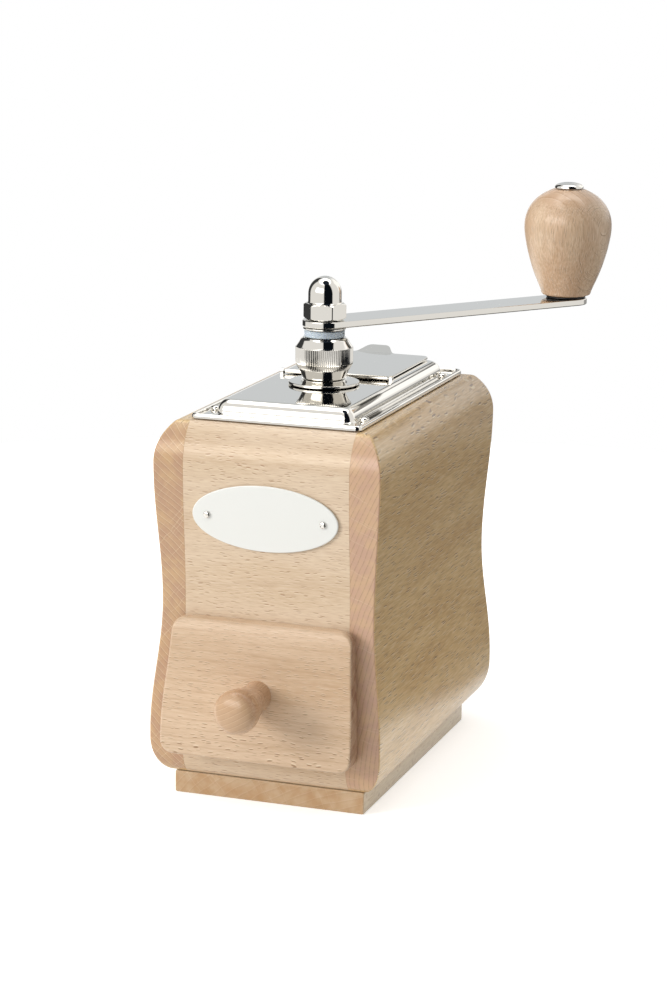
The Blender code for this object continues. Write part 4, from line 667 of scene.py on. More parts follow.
# %% Drawer front
DRAWER_FRONT_LOW, DRAWER_FRONT_HEIGHT = 11.5 * MM, 51.0 * MM
DRAWER_INSET = 8.0 * MM
DRAWER_THICKNESS = 9.5 * MM
DRAWER_CORNER = 5.0 * MM
DRAWER_TOP_EASE_HEIGHT, DRAWER_TOP_EASE_DEPTH = 8.0 * MM, 1.0 * MM
DRAWER_LEAN, DRAWER_FLARE = 0.08, 0.035  # thinner and wider upwards, for each length above the bulge
DRAWER_EDGE = 1.0 * MM
DRAWER_REST_GAP = 0.3 * MM
DRAWER_REBATE, DRAWER_STAND_OFF = 3.0 * MM, 2.0 * MM  # at the sides, where it doesn't touch the body
# its end colour is dark: partly end grain's own tone, partly painted shade for the drawer's half-shaded
# sides
DRAWER_BEECH = beech("beech_drawer_front", 0, (-130.0, 150.0), light="#D6BA9C", dark="#C3A483",
                     end="#8A6349", fleck="#89633F", pale="#EBD9BE", warp_mm=3.4, mark=0.9, band=0.22,
                     streak=0.14)
drawer_low = body_low + DRAWER_FRONT_LOW
drawer_high = drawer_low + DRAWER_FRONT_HEIGHT


def above_bulge(z):
    return max(0.0, z - body_low - BULGE)


def drawer_face(z):
    past = max(0.0, (z - drawer_high) / DRAWER_TOP_EASE_HEIGHT + 1.0)
    fallen = DRAWER_LEAN * above_bulge(z) + DRAWER_TOP_EASE_DEPTH * past * past
    return -half_depth(z) - DRAWER_REST_GAP - DRAWER_THICKNESS + fallen


def drawer_rows(inset):
    """The front's outline from the bottom up, as (z, how far the corner draws in)."""
    radius = DRAWER_CORNER - inset
    lowest, highest = drawer_low + DRAWER_CORNER, drawer_high - DRAWER_CORNER
    turns = spread(0.0, pi / 2, 10)
    rows = [(lowest - radius * cos(angle), radius * (1.0 - sin(angle))) for angle in turns]
    rows += [(z, 0.0) for z in spread(lowest, highest, 26)[1:-1]]
    return rows + [(highest + radius * sin(angle), radius * (1.0 - cos(angle))) for angle in turns]


def drawer_front():
    def layer(inset, back):
        return [(half_width(z) + DRAWER_FLARE * above_bulge(z) - DRAWER_INSET - inset - drawn,
                 drawer_face(z) + back, z) for z, drawn in drawer_rows(inset)]

    def behind(inset, forward):
        return [(x - inset, -half_depth(z) - DRAWER_REST_GAP - forward, z) for x, y, z in layer(0.0, 0.0)]

    rear = [behind(DRAWER_REBATE, 0.0), behind(DRAWER_REBATE, DRAWER_STAND_OFF),
            behind(0.0, DRAWER_STAND_OFF)]
    return slab(rear + [layer(inset, back) for back, inset in eased_edge(DRAWER_EDGE, 6)])


show("drawer_front_beech", drawer_front(), DRAWER_BEECH, "drawer", "beech", "drawer_front")
print("drawer front", round(DRAWER_FRONT_HEIGHT / MM), "mm high")

# %% [markdown]
# Behind the front is a plain box that nobody sees until the drawer is pulled: two sides and a back in
# beech and a plywood bottom let in near the lower edge. It slides on two runners.

# %% Drawer box and runners
BOARD_EASE = 0.35 * MM
DRAWER_SIDE_BEECH = beech("beech_drawer_side", 1, (90.0, 130.0))
PLY = beech("beech_plywood", 0, (0.0, 160.0), ring_mm=1.1, light="#E3CFB2", dark="#D7BD9A", warp_mm=1.0)
for name in ("drawer_side_left", "drawer_side_right"):
    low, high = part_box(name)
    show(name + "_beech", block(low, high, BOARD_EASE), DRAWER_SIDE_BEECH, "drawer", "beech", name)
low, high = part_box("drawer_back")
show("drawer_back_beech", block(low, high, BOARD_EASE), DRAWER_BEECH, "drawer", "beech", "drawer_back")
low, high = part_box("drawer_bottom")
show("drawer_bottom_ply", block(low, high, BOARD_EASE / 2), PLY, "drawer", "beech_ply", "drawer_bottom")
for name in ("drawer_runner_left", "drawer_runner_right"):
    low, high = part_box(name)
    show(name + "_beech", block(low, high, BOARD_EASE), DRAWER_SIDE_BEECH, "housing", "beech", name)
print("runners", round((high.y - low.y) / MM), "mm long")

# %% [markdown]
# ## Turned knobs
#
# Both knobs were turned on a lathe. The drawer knob has its grain along its own axis, so its round face
# shows rings as slanting lines. The crank knob stands upright, and the rings come out of its bulging side
# as narrow ovals.

# %% Knobs
KNOB_PROFILE_SHARES = (  # of the length from the drawer, of the greatest radius
    (0.0, 0.70), (0.06, 0.68), (0.18, 0.68), (0.32, 0.73), (0.46, 0.81), (0.60, 0.91), (0.71, 0.98),
    (0.79, 1.0), (0.85, 0.98), (0.90, 0.90), (0.945, 0.74), (0.98, 0.46), (1.0, 0.10),
)
GRIP_PROFILE_SHARES = (  # of the height, of the greatest radius
    (0.0, 0.50), (0.012, 0.56), (0.06, 0.60), (0.22, 0.765), (0.39, 0.895), (0.53, 0.97), (0.63, 1.0),
    (0.72, 0.985), (0.80, 0.925), (0.87, 0.82), (0.93, 0.67), (0.975, 0.49), (1.0, 0.355),
)
GRIP_PITH_AWAY = (43.0, 76.0)  # millimetres from the crank knob's own middle


def knob(profile_shares, radius, length, foot=0.0):
    return turned([(radius * out, foot + length * along) for along, out in smooth_curve(profile_shares)])


knob_low, knob_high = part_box("drawer_knob")
knob_middle, knob_radius = (knob_low + knob_high) / 2, (knob_high.z - knob_low.z) / 2
KNOB_BEECH = beech("beech_drawer_knob", 1, (-32.0, 101.0), light="#CDAA88", dark="#B98F6B", end="#BE9B79",
                   ring="#A17A58", pale="#DCC19E", fleck="#8E6A4A", ring_mm=1.9, warp_mm=0.8,
                   end_ring=0.25, end_line=0.6, end_ray=0.1)
place = Matrix.Translation((knob_middle.x, knob_high.y, knob_middle.z)) @ Matrix.Rotation(pi / 2, 4, "X")
show("drawer_knob_beech", moved(knob(KNOB_PROFILE_SHARES, knob_radius, knob_high.y - knob_low.y), place),
     KNOB_BEECH, "drawer", "beech", "drawer_knob")

grip_low, grip_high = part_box("crank_knob")
grip_middle, grip_radius = (grip_low + grip_high) / 2, (grip_high.x - grip_low.x) / 2
grip_pith = tuple(c / MM + away for c, away in zip(grip_middle, GRIP_PITH_AWAY))
GRIP_BEECH = beech("beech_crank_knob", 2, grip_pith, light="#DCC0A1", dark="#CDA988", fleck="#7E5838",
                   warp_mm=1.6, cell_mm=(4.0, 0.75, 24.0), mark=0.9, band=0.10, fibre_mm=(5.0, 0.45),
                   streak=0.25)
place = Matrix.Translation((grip_middle.x, grip_middle.y, 0.0))
grip = knob(GRIP_PROFILE_SHARES, grip_radius, grip_high.z - grip_low.z, grip_low.z)
show("crank_knob_beech", moved(grip, place), GRIP_BEECH, "knob", "beech", "crank_knob")
print("knobs", round(2 * knob_radius / MM, 1), "and", round(2 * grip_radius / MM, 1), "mm across")

# %% [markdown]
# ## The oval plate
#
# A thin enamelled plate, bent to the front panel's curve and held by a pin at each end. It carries no
# print. It is made of ovals inside each other, so that its edge can roll over smoothly. The pins, like
# the screws of the metal top, have a domed and slotted head.

# %% Oval plate
PLATE_GAP = 0.3 * MM
PLATE_HALF_HEIGHT = 12.5 * MM
PLATE_THICKNESS = 0.8 * MM
PLATE_EDGE = 0.45 * MM
plate_low, plate_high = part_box("name_plate")
plate_middle, plate_half = (plate_low + plate_high) / 2, (plate_high.x - plate_low.x) / 2


def name_plate():
    def oval(inset, lift):
        points = []
        for x, y, _ in around(lambda i, angle: 1.0, 0.0, 128):
            z = plate_middle.z + (PLATE_HALF_HEIGHT - inset) * y
            points.append(((plate_half - inset) * x, -half_depth(z) - PLATE_GAP - lift, z))
        return points

    rings = [oval(PLATE_HALF_HEIGHT * share, 0.0) for share in (0.97, 0.6, 0.3)]
    rings += [oval(0.2 * MM, 0.0), oval(0.0, 0.2 * MM)]
    rings += [oval(inset, PLATE_THICKNESS - fall) for fall, inset in eased_edge(PLATE_EDGE, 5)]
    rings += [oval(PLATE_HALF_HEIGHT * share, PLATE_THICKNESS) for share in (0.2, 0.45, 0.7, 0.9, 0.985)]
    return loft(rings)


show("name_plate_enamel", name_plate(), WHITE_ENAMEL, "housing", "white_enamel", "name_plate")
print("plate", round(2 * plate_half / MM, 1), "x", round(2 * PLATE_HALF_HEIGHT / MM, 1), "mm, blank")

# %% Pins


def screw(head_radius, head_height, shank_radius, length):
    """A domed screw or pin along Z, its head's seat at the origin."""
    dome = [(head_radius * cos(angle), head_height * (0.25 + 0.75 * sin(angle)))
            for angle in spread(0.0, pi / 2, 8)]
    foot = [(shank_radius * 0.5, -length), (shank_radius, -length + shank_radius), (shank_radius, 0.0)]
    return turned(foot + [(head_radius * 0.94, 0.0), (head_radius, head_height * 0.12)] + dome, steps=48)


def slotted_screw(node, radius, seat, head_height, shank_radius, length, slot, turn):
    """Shows a nickelled screw; its slot is (reach, half width, floor) in radii, metres and heights."""
    reach, half, floor_share = slot
    slot_cut = block((-radius * reach, -half, head_height * floor_share),
                     (radius * reach, half, head_height * 2))
    show(node + "_nickel", moved(screw(radius, head_height, shank_radius, length), seat), POLISHED_NICKEL,
         "housing", "nickel_plated_steel", node,
         cuts=[moved(slot_cut, seat @ Matrix.Rotation(radians(turn), 4, "Z"))])


PIN_HEAD, PIN_RADIUS, PIN_SLOT = 0.7 * MM, 0.6 * MM, (0.7, 0.2 * MM, 0.3)
for i, turn in ((1, -40), (2, 40)):
    low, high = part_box(f"name_plate_pin_{i}")
    middle, radius = (low + high) / 2, (high.x - low.x) / 2
    seat = Matrix.Translation((middle.x, low.y + PIN_HEAD, middle.z)) @ Matrix.Rotation(pi / 2, 4, "X")
    slotted_screw(f"name_plate_pin_{i}", radius, seat, PIN_HEAD, PIN_RADIUS, high.y - low.y - PIN_HEAD,
                  PIN_SLOT, turn)
print("pins", round(2 * radius / MM, 1), "mm across")

# %% [markdown]
# ## The metal top
#
# The top is one stamping: a flat flange with a rolled bead round it, and a raised dome with rounded
# walls. In a mirror finish every crease draws a line, so the radii matter more than the material. The
# ring of each level is the same rectangle with rounded corners, drawn in by an inset.

# %% Stamped top plate
SHEET = 0.8 * MM
BEAD_WIDTH, BEAD_HEIGHT = 1.6 * MM, 1.9 * MM
DOME_WALL = 3.8 * MM
DOME_MIDDLE = DOME_WALL * 1.6  # inset of the ring that the flat top starts from
FOOT_FILLET = 0.7 * MM
DOME_HALF, DOME_FRONT, DOME_REAR = 26.8 * MM, 55.0 * MM, 60.0 * MM
DOME_FRONT_RADIUS, DOME_REAR_RADIUS = 4.0 * MM, 5.5 * MM
FLANGE_RADIUS = 2.5 * MM
flange_low, flange_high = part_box("top_plate")
flange_top = flange_low.z + SHEET
dome_top = flange_low.z + 6.0 * MM


def flange_ring(inset, z):
    radius = FLANGE_RADIUS - inset / 2
    return rounded(flange_high.x - inset, flange_low.y + inset, flange_high.y - inset, radius, radius, z)


def dome_ring(inset, z):
    return rounded(DOME_HALF - inset, -DOME_FRONT + inset, DOME_REAR - inset,
                   DOME_FRONT_RADIUS - inset / 2, DOME_REAR_RADIUS - inset / 2, z)


def top_plate():
    climb = dome_top - flange_top
    wall = [(DOME_WALL * (1 - cos(angle)), flange_top + climb * sin(angle))
            for angle in spread(0.0, pi / 2, 14)]
    rings = [dome_ring(DOME_MIDDLE, dome_top)] + [dome_ring(inset, z) for inset, z in reversed(wall[1:])]
    rings += [dome_ring(-out, flange_top + up) for up, out in eased_edge(FOOT_FILLET, 5)]
    rings += [flange_ring(BEAD_WIDTH / 2 * (1 + cos(angle)), flange_top + (BEAD_HEIGHT - SHEET) * sin(angle))
              for angle in spread(0.0, pi, 12)]
    rings += [flange_ring(0.0, flange_low.z + 0.2 * MM), flange_ring(0.2 * MM, flange_low.z)]
    rings += [dome_ring(inset + SHEET, z - SHEET) for inset, z in wall]
    return loft(rings + [dome_ring(DOME_MIDDLE, dome_top - SHEET)])


ROLL_RADIUS = 0.8 * MM
EAR_RADIUS = 1.1 * MM
EAR_THICKNESS, EAR_GAP = 1.1 * MM, 0.6 * MM
MOUTH_LEDGE, MOUTH_FRONT, MOUTH_REAR = 2.6 * MM, 10.6 * MM, 50.0 * MM
SHAFT_HOLE = 7.7 * MM
hinge_low, hinge_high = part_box("hinge_pin")
hinge_middle, pin_half = (hinge_low + hinge_high) / 2, (hinge_high.x - hinge_low.x) / 2
hinge_y, hinge_z = hinge_middle.y, hinge_middle.z
lid_low, lid_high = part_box("filling_lid")
lid_half = lid_high.x
axis_y = (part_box("shaft_collar")[0].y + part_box("shaft_collar")[1].y) / 2
on_shaft = Matrix.Translation((0.0, axis_y, 0.0))


def ear(side):
    """One hinge ear: a small upright plate with a round top."""
    root = dome_top - SHEET / 2
    arch = [(hinge_y - EAR_RADIUS, root), (hinge_y + EAR_RADIUS, root)]
    arch += [(hinge_y + EAR_RADIUS * cos(angle), hinge_z + EAR_RADIUS * sin(angle))
             for angle in spread(0.0, pi, 16)]
    near, far = lid_half + EAR_GAP, lid_half + EAR_GAP + EAR_THICKNESS
    return loft([[(side * x, y, z) for y, z in arch] for x in (near, far)])


above_dome = dome_top + 4 * OVERRUN
mouth = block((-lid_half + MOUTH_LEDGE, MOUTH_FRONT, flange_top),
              (lid_half - MOUTH_LEDGE, MOUTH_REAR, above_dome))
shaft_hole = moved(turned([(SHAFT_HOLE, flange_top), (SHAFT_HOLE, above_dome)]), on_shaft)
show("top_plate_nickel", top_plate(), POLISHED_NICKEL, "housing", "nickel_plated_steel", "top_plate",
     joins=[ear(-1), ear(1)], cuts=[mouth, shaft_hole])
print("top plate", round((flange_high.y - flange_low.y) / MM, 1), "mm long")

# %% The top's screws
TOP_SCREW_HEAD, TOP_SCREW_RADIUS, TOP_SCREW_SLOT = 1.4 * MM, 1.2 * MM, (1.2, 0.25 * MM, 0.5)
for i in (1, 2, 3, 4):
    low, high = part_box(f"top_plate_screw_{i}")
    middle, radius = (low + high) / 2, (high.x - low.x) / 2
    seat = Matrix.Translation((middle.x, middle.y, high.z - TOP_SCREW_HEAD))
    slotted_screw(f"top_plate_screw_{i}", radius, seat, TOP_SCREW_HEAD, TOP_SCREW_RADIUS,
                  high.z - low.z - TOP_SCREW_HEAD, TOP_SCREW_SLOT, 25 + 47 * i)
print("plate screws", round((high.x - low.x) / MM, 1), "mm across")

# %% [markdown]
# ## The filling lid
#
# A flat flap over the filling opening. Its front edge is rolled round the hinge pin, its sides stop short
# of the dome's rounded walls, and at the rear a tongue reaches out and rises a little, for a finger to
# lift it by. The sheet is followed from the hinge to the tip of the tongue, section by section.

# %% Filling lid
LID_THICKNESS = 0.9 * MM
LID_REAR = 58.4 * MM
LID_CORNER = 3.0 * MM
LID_EDGE = 0.3 * MM
TAB_LEFT = 2.4 * MM  # of the lid's middle
TAB_ROOT_HALF, TAB_LENGTH, TAB_RISE = 8.3 * MM, 6.8 * MM, 2.0 * MM
TAB_OUTLINE_SHARES = (  # along the length, of the root's half width, of the rise
    (0.02, 1.08, 0.0), (0.06, 1.0, 0.02), (0.15, 0.9, 0.1), (0.28, 0.83, 0.24), (0.5, 0.73, 0.48),
    (0.72, 0.64, 0.72), (0.88, 0.54, 0.89), (0.97, 0.45, 0.97), (1.0, 0.36, 1.0),
)
lid_bottom = dome_top + 0.3 * MM


def lid_plate():
    rings = []

    def across_sheet(half, middle, y, z):
        """A section across the sheet at a point of its underside, its edges rounded."""
        edge = min(LID_EDGE, half * 0.6)
        right = corner(half - edge, edge, edge, -pi / 2, 3)
        right += corner(half - edge, LID_THICKNESS - edge, edge, 0.0, 3)
        left = [(-x, rise) for x, rise in reversed(right)]
        rings.append([(middle + x, y, z + rise) for x, rise in right + left])

    for y in (hinge_y + 0.4 * MM, LID_REAR - LID_CORNER):
        across_sheet(lid_half, 0.0, y, lid_bottom)
    for angle in spread(0.0, radians(84), 7)[1:]:
        across_sheet(lid_half - LID_CORNER * (1 - cos(angle)), 0.0, LID_REAR - LID_CORNER * (1 - sin(angle)),
                     lid_bottom)
    for along, wide, up in smooth_curve(TAB_OUTLINE_SHARES, 3):
        across_sheet(TAB_ROOT_HALF * wide, -TAB_LEFT, LID_REAR + TAB_LENGTH * along,
                     lid_bottom + TAB_RISE * up)
    return loft(rings)


def rod(radius, half, ease_radius, ease_length, steps):
    """A round bar along the hinge, its ends drawn in."""
    ends = [(radius - ease_radius, half), (radius, half - ease_length)]
    profile = [(r, -z) for r, z in ends] + ends[::-1]
    return moved(turned(profile, steps), across_hinge)


across_hinge = Matrix.Translation((0.0, hinge_y, hinge_z)) @ Matrix.Rotation(pi / 2, 4, "Y")
roll = rod(ROLL_RADIUS, lid_half, 0.2 * MM, 0.2 * MM, 48)
pin_bore = moved(turned([(0.55 * MM, -lid_half * 1.1), (0.55 * MM, lid_half * 1.1)], 32), across_hinge)
show("filling_lid_nickel", lid_plate(), POLISHED_NICKEL, "lid", "nickel_plated_steel", "filling_lid",
     joins=[roll], cuts=[pin_bore], sharp=28)
pin_radius = (hinge_high.z - hinge_low.z) / 2
show("hinge_pin_steel", rod(pin_radius, pin_half, pin_radius * 0.4, pin_radius * 0.4, 32), GROUND_STEEL,
     "housing", "bright_steel", "hinge_pin")
print("lid", round(2 * lid_half / MM, 1), "mm wide, hinge at z", round(hinge_z / MM, 1), "mm")

# %% [markdown]
# ## On the shaft
#
# From the dome up: a flared collar, the knurled adjusting nut, a nylon washer, a steel washer, the crank
# arm and the domed cap nut. The knurl's grooves run straight up, about three quarters of a millimetre
# apart.

# %% Collar, adjusting nut and washers
COLLAR_PROFILE_SHARES = (  # of the height, of the radius
    (0.0, 0.97), (0.06, 0.99), (0.14, 1.0), (0.42, 1.0), (0.53, 0.99), (0.58, 0.96), (0.62, 0.86),
    (0.70, 0.74), (0.82, 0.65), (1.0, 0.60),
)
NUT_FOOT, NUT_TOP = 8.0 * MM, 8.2 * MM  # radii
NUT_GROOVES = 92
GROOVE_STEPS = 6
GROOVE_DEPTH = 0.27 * MM
SHAFT_BORE = 5.3 * MM


def ring_shape(node, edge, profile=None, steps=96):
    """A washer the size of a CAD node's box, with its edges rounded, or with a profile of its own."""
    low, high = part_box(node)
    radius = (high.x - low.x) / 2
    if profile is None:
        profile = [(radius - edge, low.z)] + corner(radius - edge, low.z + edge, edge, -pi / 2, 4)[1:]
        profile += corner(radius - edge, high.z - edge, edge, 0.0, 4)
    bore = [(SHAFT_BORE, profile[end][1]) for end in (0, -1)]
    return turned([bore[0]] + profile + [bore[1]], steps, hollow=True)


low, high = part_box("shaft_collar")
radius, tall = (high.x - low.x) / 2, high.z - low.z
outside = [(radius * out, low.z + tall * up) for up, out in smooth_curve(COLLAR_PROFILE_SHARES, 4)]
show("shaft_collar_nickel", moved(ring_shape("shaft_collar", 0.0, outside), on_shaft), POLISHED_NICKEL,
     "housing", "nickel_plated_steel", "shaft_collar")


def adjusting_nut():
    low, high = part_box("adjusting_nut")
    radius = (high.x - low.x) / 2
    depths = [(1 - cos(angle)) / 2 for angle in spread(0.0, 2 * pi, GROOVE_STEPS)]

    def ring(share, up, deep=0.0):
        """A ring at a share of the radius and of the height, with grooves of a share of their depth."""
        return around(lambda i, angle: radius * share - GROOVE_DEPTH * deep * depths[i % GROOVE_STEPS],
                      low.z + (high.z - low.z) * up, NUT_GROOVES * GROOVE_STEPS)

    bore, foot, top = SHAFT_BORE / radius, NUT_FOOT / radius, NUT_TOP / radius
    return loft([ring(*row) for row in (
        (bore, 0.0), (foot - 0.02, 0.0), (foot, 0.012), (foot + 0.035, 0.05), (0.80, 0.11), (0.855, 0.19),
        (0.90, 0.245), (0.905, 0.25, 0.5), (0.955, 0.315, 1.0), (0.99, 0.365, 1.0), (1.0, 0.40, 1.0),
        (1.0, 0.755, 1.0), (0.995, 0.77, 0.4), (0.98, 0.778), (0.945, 0.815), (0.875, 0.885), (0.83, 0.945),
        (0.815, 0.965), (top + 0.02, 0.985), (top, 1.0), (bore, 1.0))], hollow=True)


show("adjusting_nut_nickel", moved(adjusting_nut(), on_shaft), POLISHED_NICKEL, "setting",
     "nickel_plated_steel", "adjusting_nut", sharp=40)
show("nylon_washer_moulded", moved(ring_shape("nylon_washer", 0.35 * MM), on_shaft), NYLON, "crank",
     "nylon", "nylon_washer")
show("arm_washer_nickel", moved(ring_shape("arm_washer", 0.2 * MM), on_shaft), POLISHED_NICKEL, "crank",
     "nickel_plated_steel", "arm_washer")
print("nut grooves every", round(pi * 22 / NUT_GROOVES, 2), "mm")

# %% [markdown]
# ## The crank
#
# The arm is flat bar with round ends and softly broken edges. It stands at an angle to the frame's axes,
# so it is made along X and then turned into place. The cap nut is a hexagon whose corners are chamfered
# to a cone, with a bullet shaped dome on it.

# %% Crank arm
ARM_WIDTH = 17.0 * MM
ARM_EDGE = 0.45 * MM
arm_low, arm_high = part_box("crank_arm")
grip_axis = Vector((grip_middle.x, grip_middle.y, 0.0))
crank_length = hypot(grip_axis.x, grip_axis.y - axis_y)
crank_place = on_shaft @ Matrix.Rotation(atan2(grip_axis.y - axis_y, grip_axis.x), 4, "Z")


def arm():
    def stadium(inset, z):
        radius = ARM_WIDTH / 2 - inset
        round_end = [(radius * cos(angle), radius * sin(angle)) for angle in spread(pi / 2, 1.5 * pi, 32)]
        return [(x, y, z) for x, y in round_end + [(crank_length - x, -y) for x, y in round_end]]

    edge = [(ARM_WIDTH * 0.25, 0.0)] + eased_edge(ARM_EDGE, 5)
    rings = [stadium(inset, arm_low.z + rise) for inset, rise in edge]
    return loft(rings + [stadium(inset, arm_high.z - rise) for inset, rise in reversed(edge)])


show("crank_arm_nickel", moved(arm(), crank_place), POLISHED_NICKEL, "crank", "nickel_plated_steel",
     "crank_arm")
print("crank", round(crank_length / MM, 1), "mm from shaft to knob")

# %% Cap nut and the knob's fittings
FLATS_HALF = 7.2 * MM
HEX_HEIGHT, HEX_CHAMFER = 6.1 * MM, 0.7 * MM
HEX_CORNER_RADIUS = 0.7 * MM
HEX_TURN = radians(17.6)
NUT_DOME_RADIUS, NUT_DOME_STRAIGHT = 6.4 * MM, 3.6 * MM
KNOB_SCREW_RADIUS, KNOB_SCREW_HEAD = 3.0 * MM, 2.5 * MM
KNOB_WASHER_BORE = 3.3 * MM


def cap_nut():
    low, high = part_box("cap_nut")
    corner_middle = (FLATS_HALF - HEX_CORNER_RADIUS) / cos(pi / 6)
    corner_turn = atan2(HEX_CORNER_RADIUS * 0.5, corner_middle + HEX_CORNER_RADIUS * cos(pi / 6))
    corner_reach = FLATS_HALF / cos(pi / 6)

    def hexagon(limit, z):
        """A hexagon with rounded corners, cut off where it reaches past a limit."""
        def reach(i, angle):
            off = abs((angle + pi / 6) % (pi / 3) - pi / 6)
            if off < corner_turn:
                out = corner_middle * cos(off)
                out += sqrt(HEX_CORNER_RADIUS ** 2 - (corner_middle * sin(off)) ** 2)
            else:
                out = FLATS_HALF / cos(pi / 6 - off)
            return min(limit, out)

        return around(reach, z, 360, HEX_TURN)

    def chamfered(share):
        return FLATS_HALF + (corner_reach - FLATS_HALF) * share

    hex_top = low.z + HEX_HEIGHT
    straight = hex_top + NUT_DOME_STRAIGHT
    rings = [hexagon(FLATS_HALF * 0.6, low.z), hexagon(FLATS_HALF * 0.99, low.z)]
    rings += [hexagon(chamfered(share), low.z + HEX_CHAMFER * share) for share in (0.35, 0.7, 1.0)]
    rings += [hexagon(chamfered(share), hex_top - HEX_CHAMFER * share) for share in (1.0, 0.7, 0.35, 0.0)]
    rings += [hexagon(FLATS_HALF * 0.975, hex_top + 0.05 * MM)]
    rings += [hexagon(NUT_DOME_RADIUS + out * MM, hex_top + up * MM)
              for out, up in ((0.35, 0.12), (0.08, 0.4), (0.0, 0.8))]
    rings += [hexagon(NUT_DOME_RADIUS, straight)]
    rings += [hexagon(max(NUT_DOME_RADIUS * cos(angle), 0.02 * MM),
                      straight + (high.z - straight) * sin(angle))
              for angle in spread(0.0, pi / 2, 24)[1:]]
    return loft(rings)


show("cap_nut_nickel", moved(cap_nut(), crank_place), POLISHED_NICKEL, "crank", "nickel_plated_steel",
     "cap_nut", sharp=24)
low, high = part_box("crank_knob_washer")
radius = (high.x - low.x) / 2
washer = turned([(KNOB_WASHER_BORE, low.z), (radius, low.z), (radius, high.z), (KNOB_WASHER_BORE, high.z)],
                hollow=True)
show("crank_knob_washer_fibre", moved(washer, Matrix.Translation(grip_axis)), BLACK_FIBRE, "crank",
     "black_fibre", "crank_knob_washer")
low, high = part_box("crank_knob_screw")
radius = (high.x - low.x) / 2
knob_screw = screw(radius, KNOB_SCREW_HEAD, KNOB_SCREW_RADIUS, high.z - low.z - KNOB_SCREW_HEAD)
seat = Matrix.Translation((grip_axis.x, grip_axis.y, high.z - KNOB_SCREW_HEAD))
show("crank_knob_screw_nickel", moved(knob_screw, seat), POLISHED_NICKEL, "crank", "nickel_plated_steel",
     "crank_knob_screw")
print("knob screw", round(2 * radius / MM, 1), "mm across")

# %% [markdown]
# ## Pieces inside
#
# Burrs, bridges, bushes, shaft and spring keep their CAD shape, which is true to the real ones, and only
# get the finish of their metal. The board that carries them is beech like the body.

# %% Finishes for the pieces inside
BOARD_BEECH = beech("beech_board", 1, (60.0, 190.0))
INSIDE = {
    BOARD_BEECH: ["mechanism_board"],
    CAST_STEEL: ["outer_burr", "inner_burr"],
    BRASS: ["upper_bush", "lower_bush"],
    GROUND_STEEL: ["drive_shaft", "burr_drive_pin", "burr_spring", "spring_washer", "feed_funnel",
                   "upper_bridge", "lower_bridge", "drawer_knob_screw"]
    + [f"{kind}_screw_{i}" for kind in ("plinth", "upper_bridge") for i in (1, 2, 3, 4)]
    + [f"{kind}_screw_{i}" for kind in ("lower_bridge", "outer_burr") for i in (1, 2)],
}
for material, names in INSIDE.items():
    for name in names:
        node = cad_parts[name]
        node.data.materials.clear()
        node.data.materials.append(material)
print("inside:", sum(len(names) for names in INSIDE.values()), "pieces")

# %% [markdown]
# ## Studio
#
# The floor is a round sheet of white paper. For the camera it glows up to pure white, least around the
# mill, where it keeps the soft shadow. The polish mirrors it darker: right of the mill the metal sees a
# dark card that lies on the paper, and next to the mill a strip of lit paper, whose light also brightens
# the plinth and the foot of the right side. A large lamp stands in front and to the left, so the mill's
# front is bright and its right side lies in half shade.

# %% Floor
FLOOR_RADIUS = 0.62
FLOOR_GLOW, SHADOW_GLOW = 0.75, 0.50  # far from the mill, and around it
GLOW_START, GLOW_END = 0.14, 0.42
CARD_EDGE, CARD_FROM = 0.06, 0.11  # the card lies right of the first and beyond the second
CARD_EDGE_SOFT, CARD_FROM_SOFT = 0.02, 0.03
LEFT_SHINE, NEAR_SHINE = 0.35, 0.7  # the paper's own light in the polish: on the left, next to the mill
BOUNCE = 0.7  # light that the strip next to the mill throws on the wood

floor_mesh = bpy.data.meshes.new("floor")
floor_mesh.from_pydata(around(lambda i, angle: FLOOR_RADIUS, 0.0, 96), [], [range(96)])
floor = bpy.data.objects.new("floor", floor_mesh)
bpy.context.scene.collection.objects.link(floor)
made, add = new_material("white_paper_sheet")
where = add("TexCoord")["Object"]
away = add("VectorMath", where, operation="LENGTH")["Value"]
x = add("SeparateXYZ", where)["X"]
rays = add("LightPath")
glow = add("MapRange", away, GLOW_START, GLOW_END, SHADOW_GLOW, FLOOR_GLOW, **SMOOTH)[0]
seen = add("Math", rays["Is Camera Ray"], rays["Is Transmission Ray"], operation="MAXIMUM")[0]
on_left, on_right = (add("MapRange", x, CARD_EDGE - CARD_EDGE_SOFT, CARD_EDGE + CARD_EDGE_SOFT, *ends,
                         **SMOOTH)[0] for ends in ((1.0, 0.0), (0.0, 1.0)))
near, far = (add("MapRange", away, CARD_FROM - CARD_FROM_SOFT, CARD_FROM + CARD_FROM_SOFT, *ends,
                 **SMOOTH)[0] for ends in ((1.0, 0.0), (0.0, 1.0)))
strength = total_of(add, (seen, glow), (rays["Is Glossy Ray"], on_left, LEFT_SHINE),
                    (rays["Is Glossy Ray"], on_right, near, NEAR_SHINE),
                    (rays["Is Diffuse Ray"], on_right, near, BOUNCE))
card_seen = total_of(add, (rays["Is Glossy Ray"], on_right, far))
paper = add("BsdfDiffuse", painted(add, rgb("#F2F2F0"), (card_seen, rgb("#5A5A58"))))[0]
light = add("Emission", rgb("#FFFFFF"), strength)[0]
add("OutputMaterial", add("AddShader", paper, light)[0])
made.cycles.emission_sampling = "NONE"  # so that each kind of ray finds its own brightness
floor_mesh.materials.append(made)
print("floor", 2 * FLOOR_RADIUS, "m across")

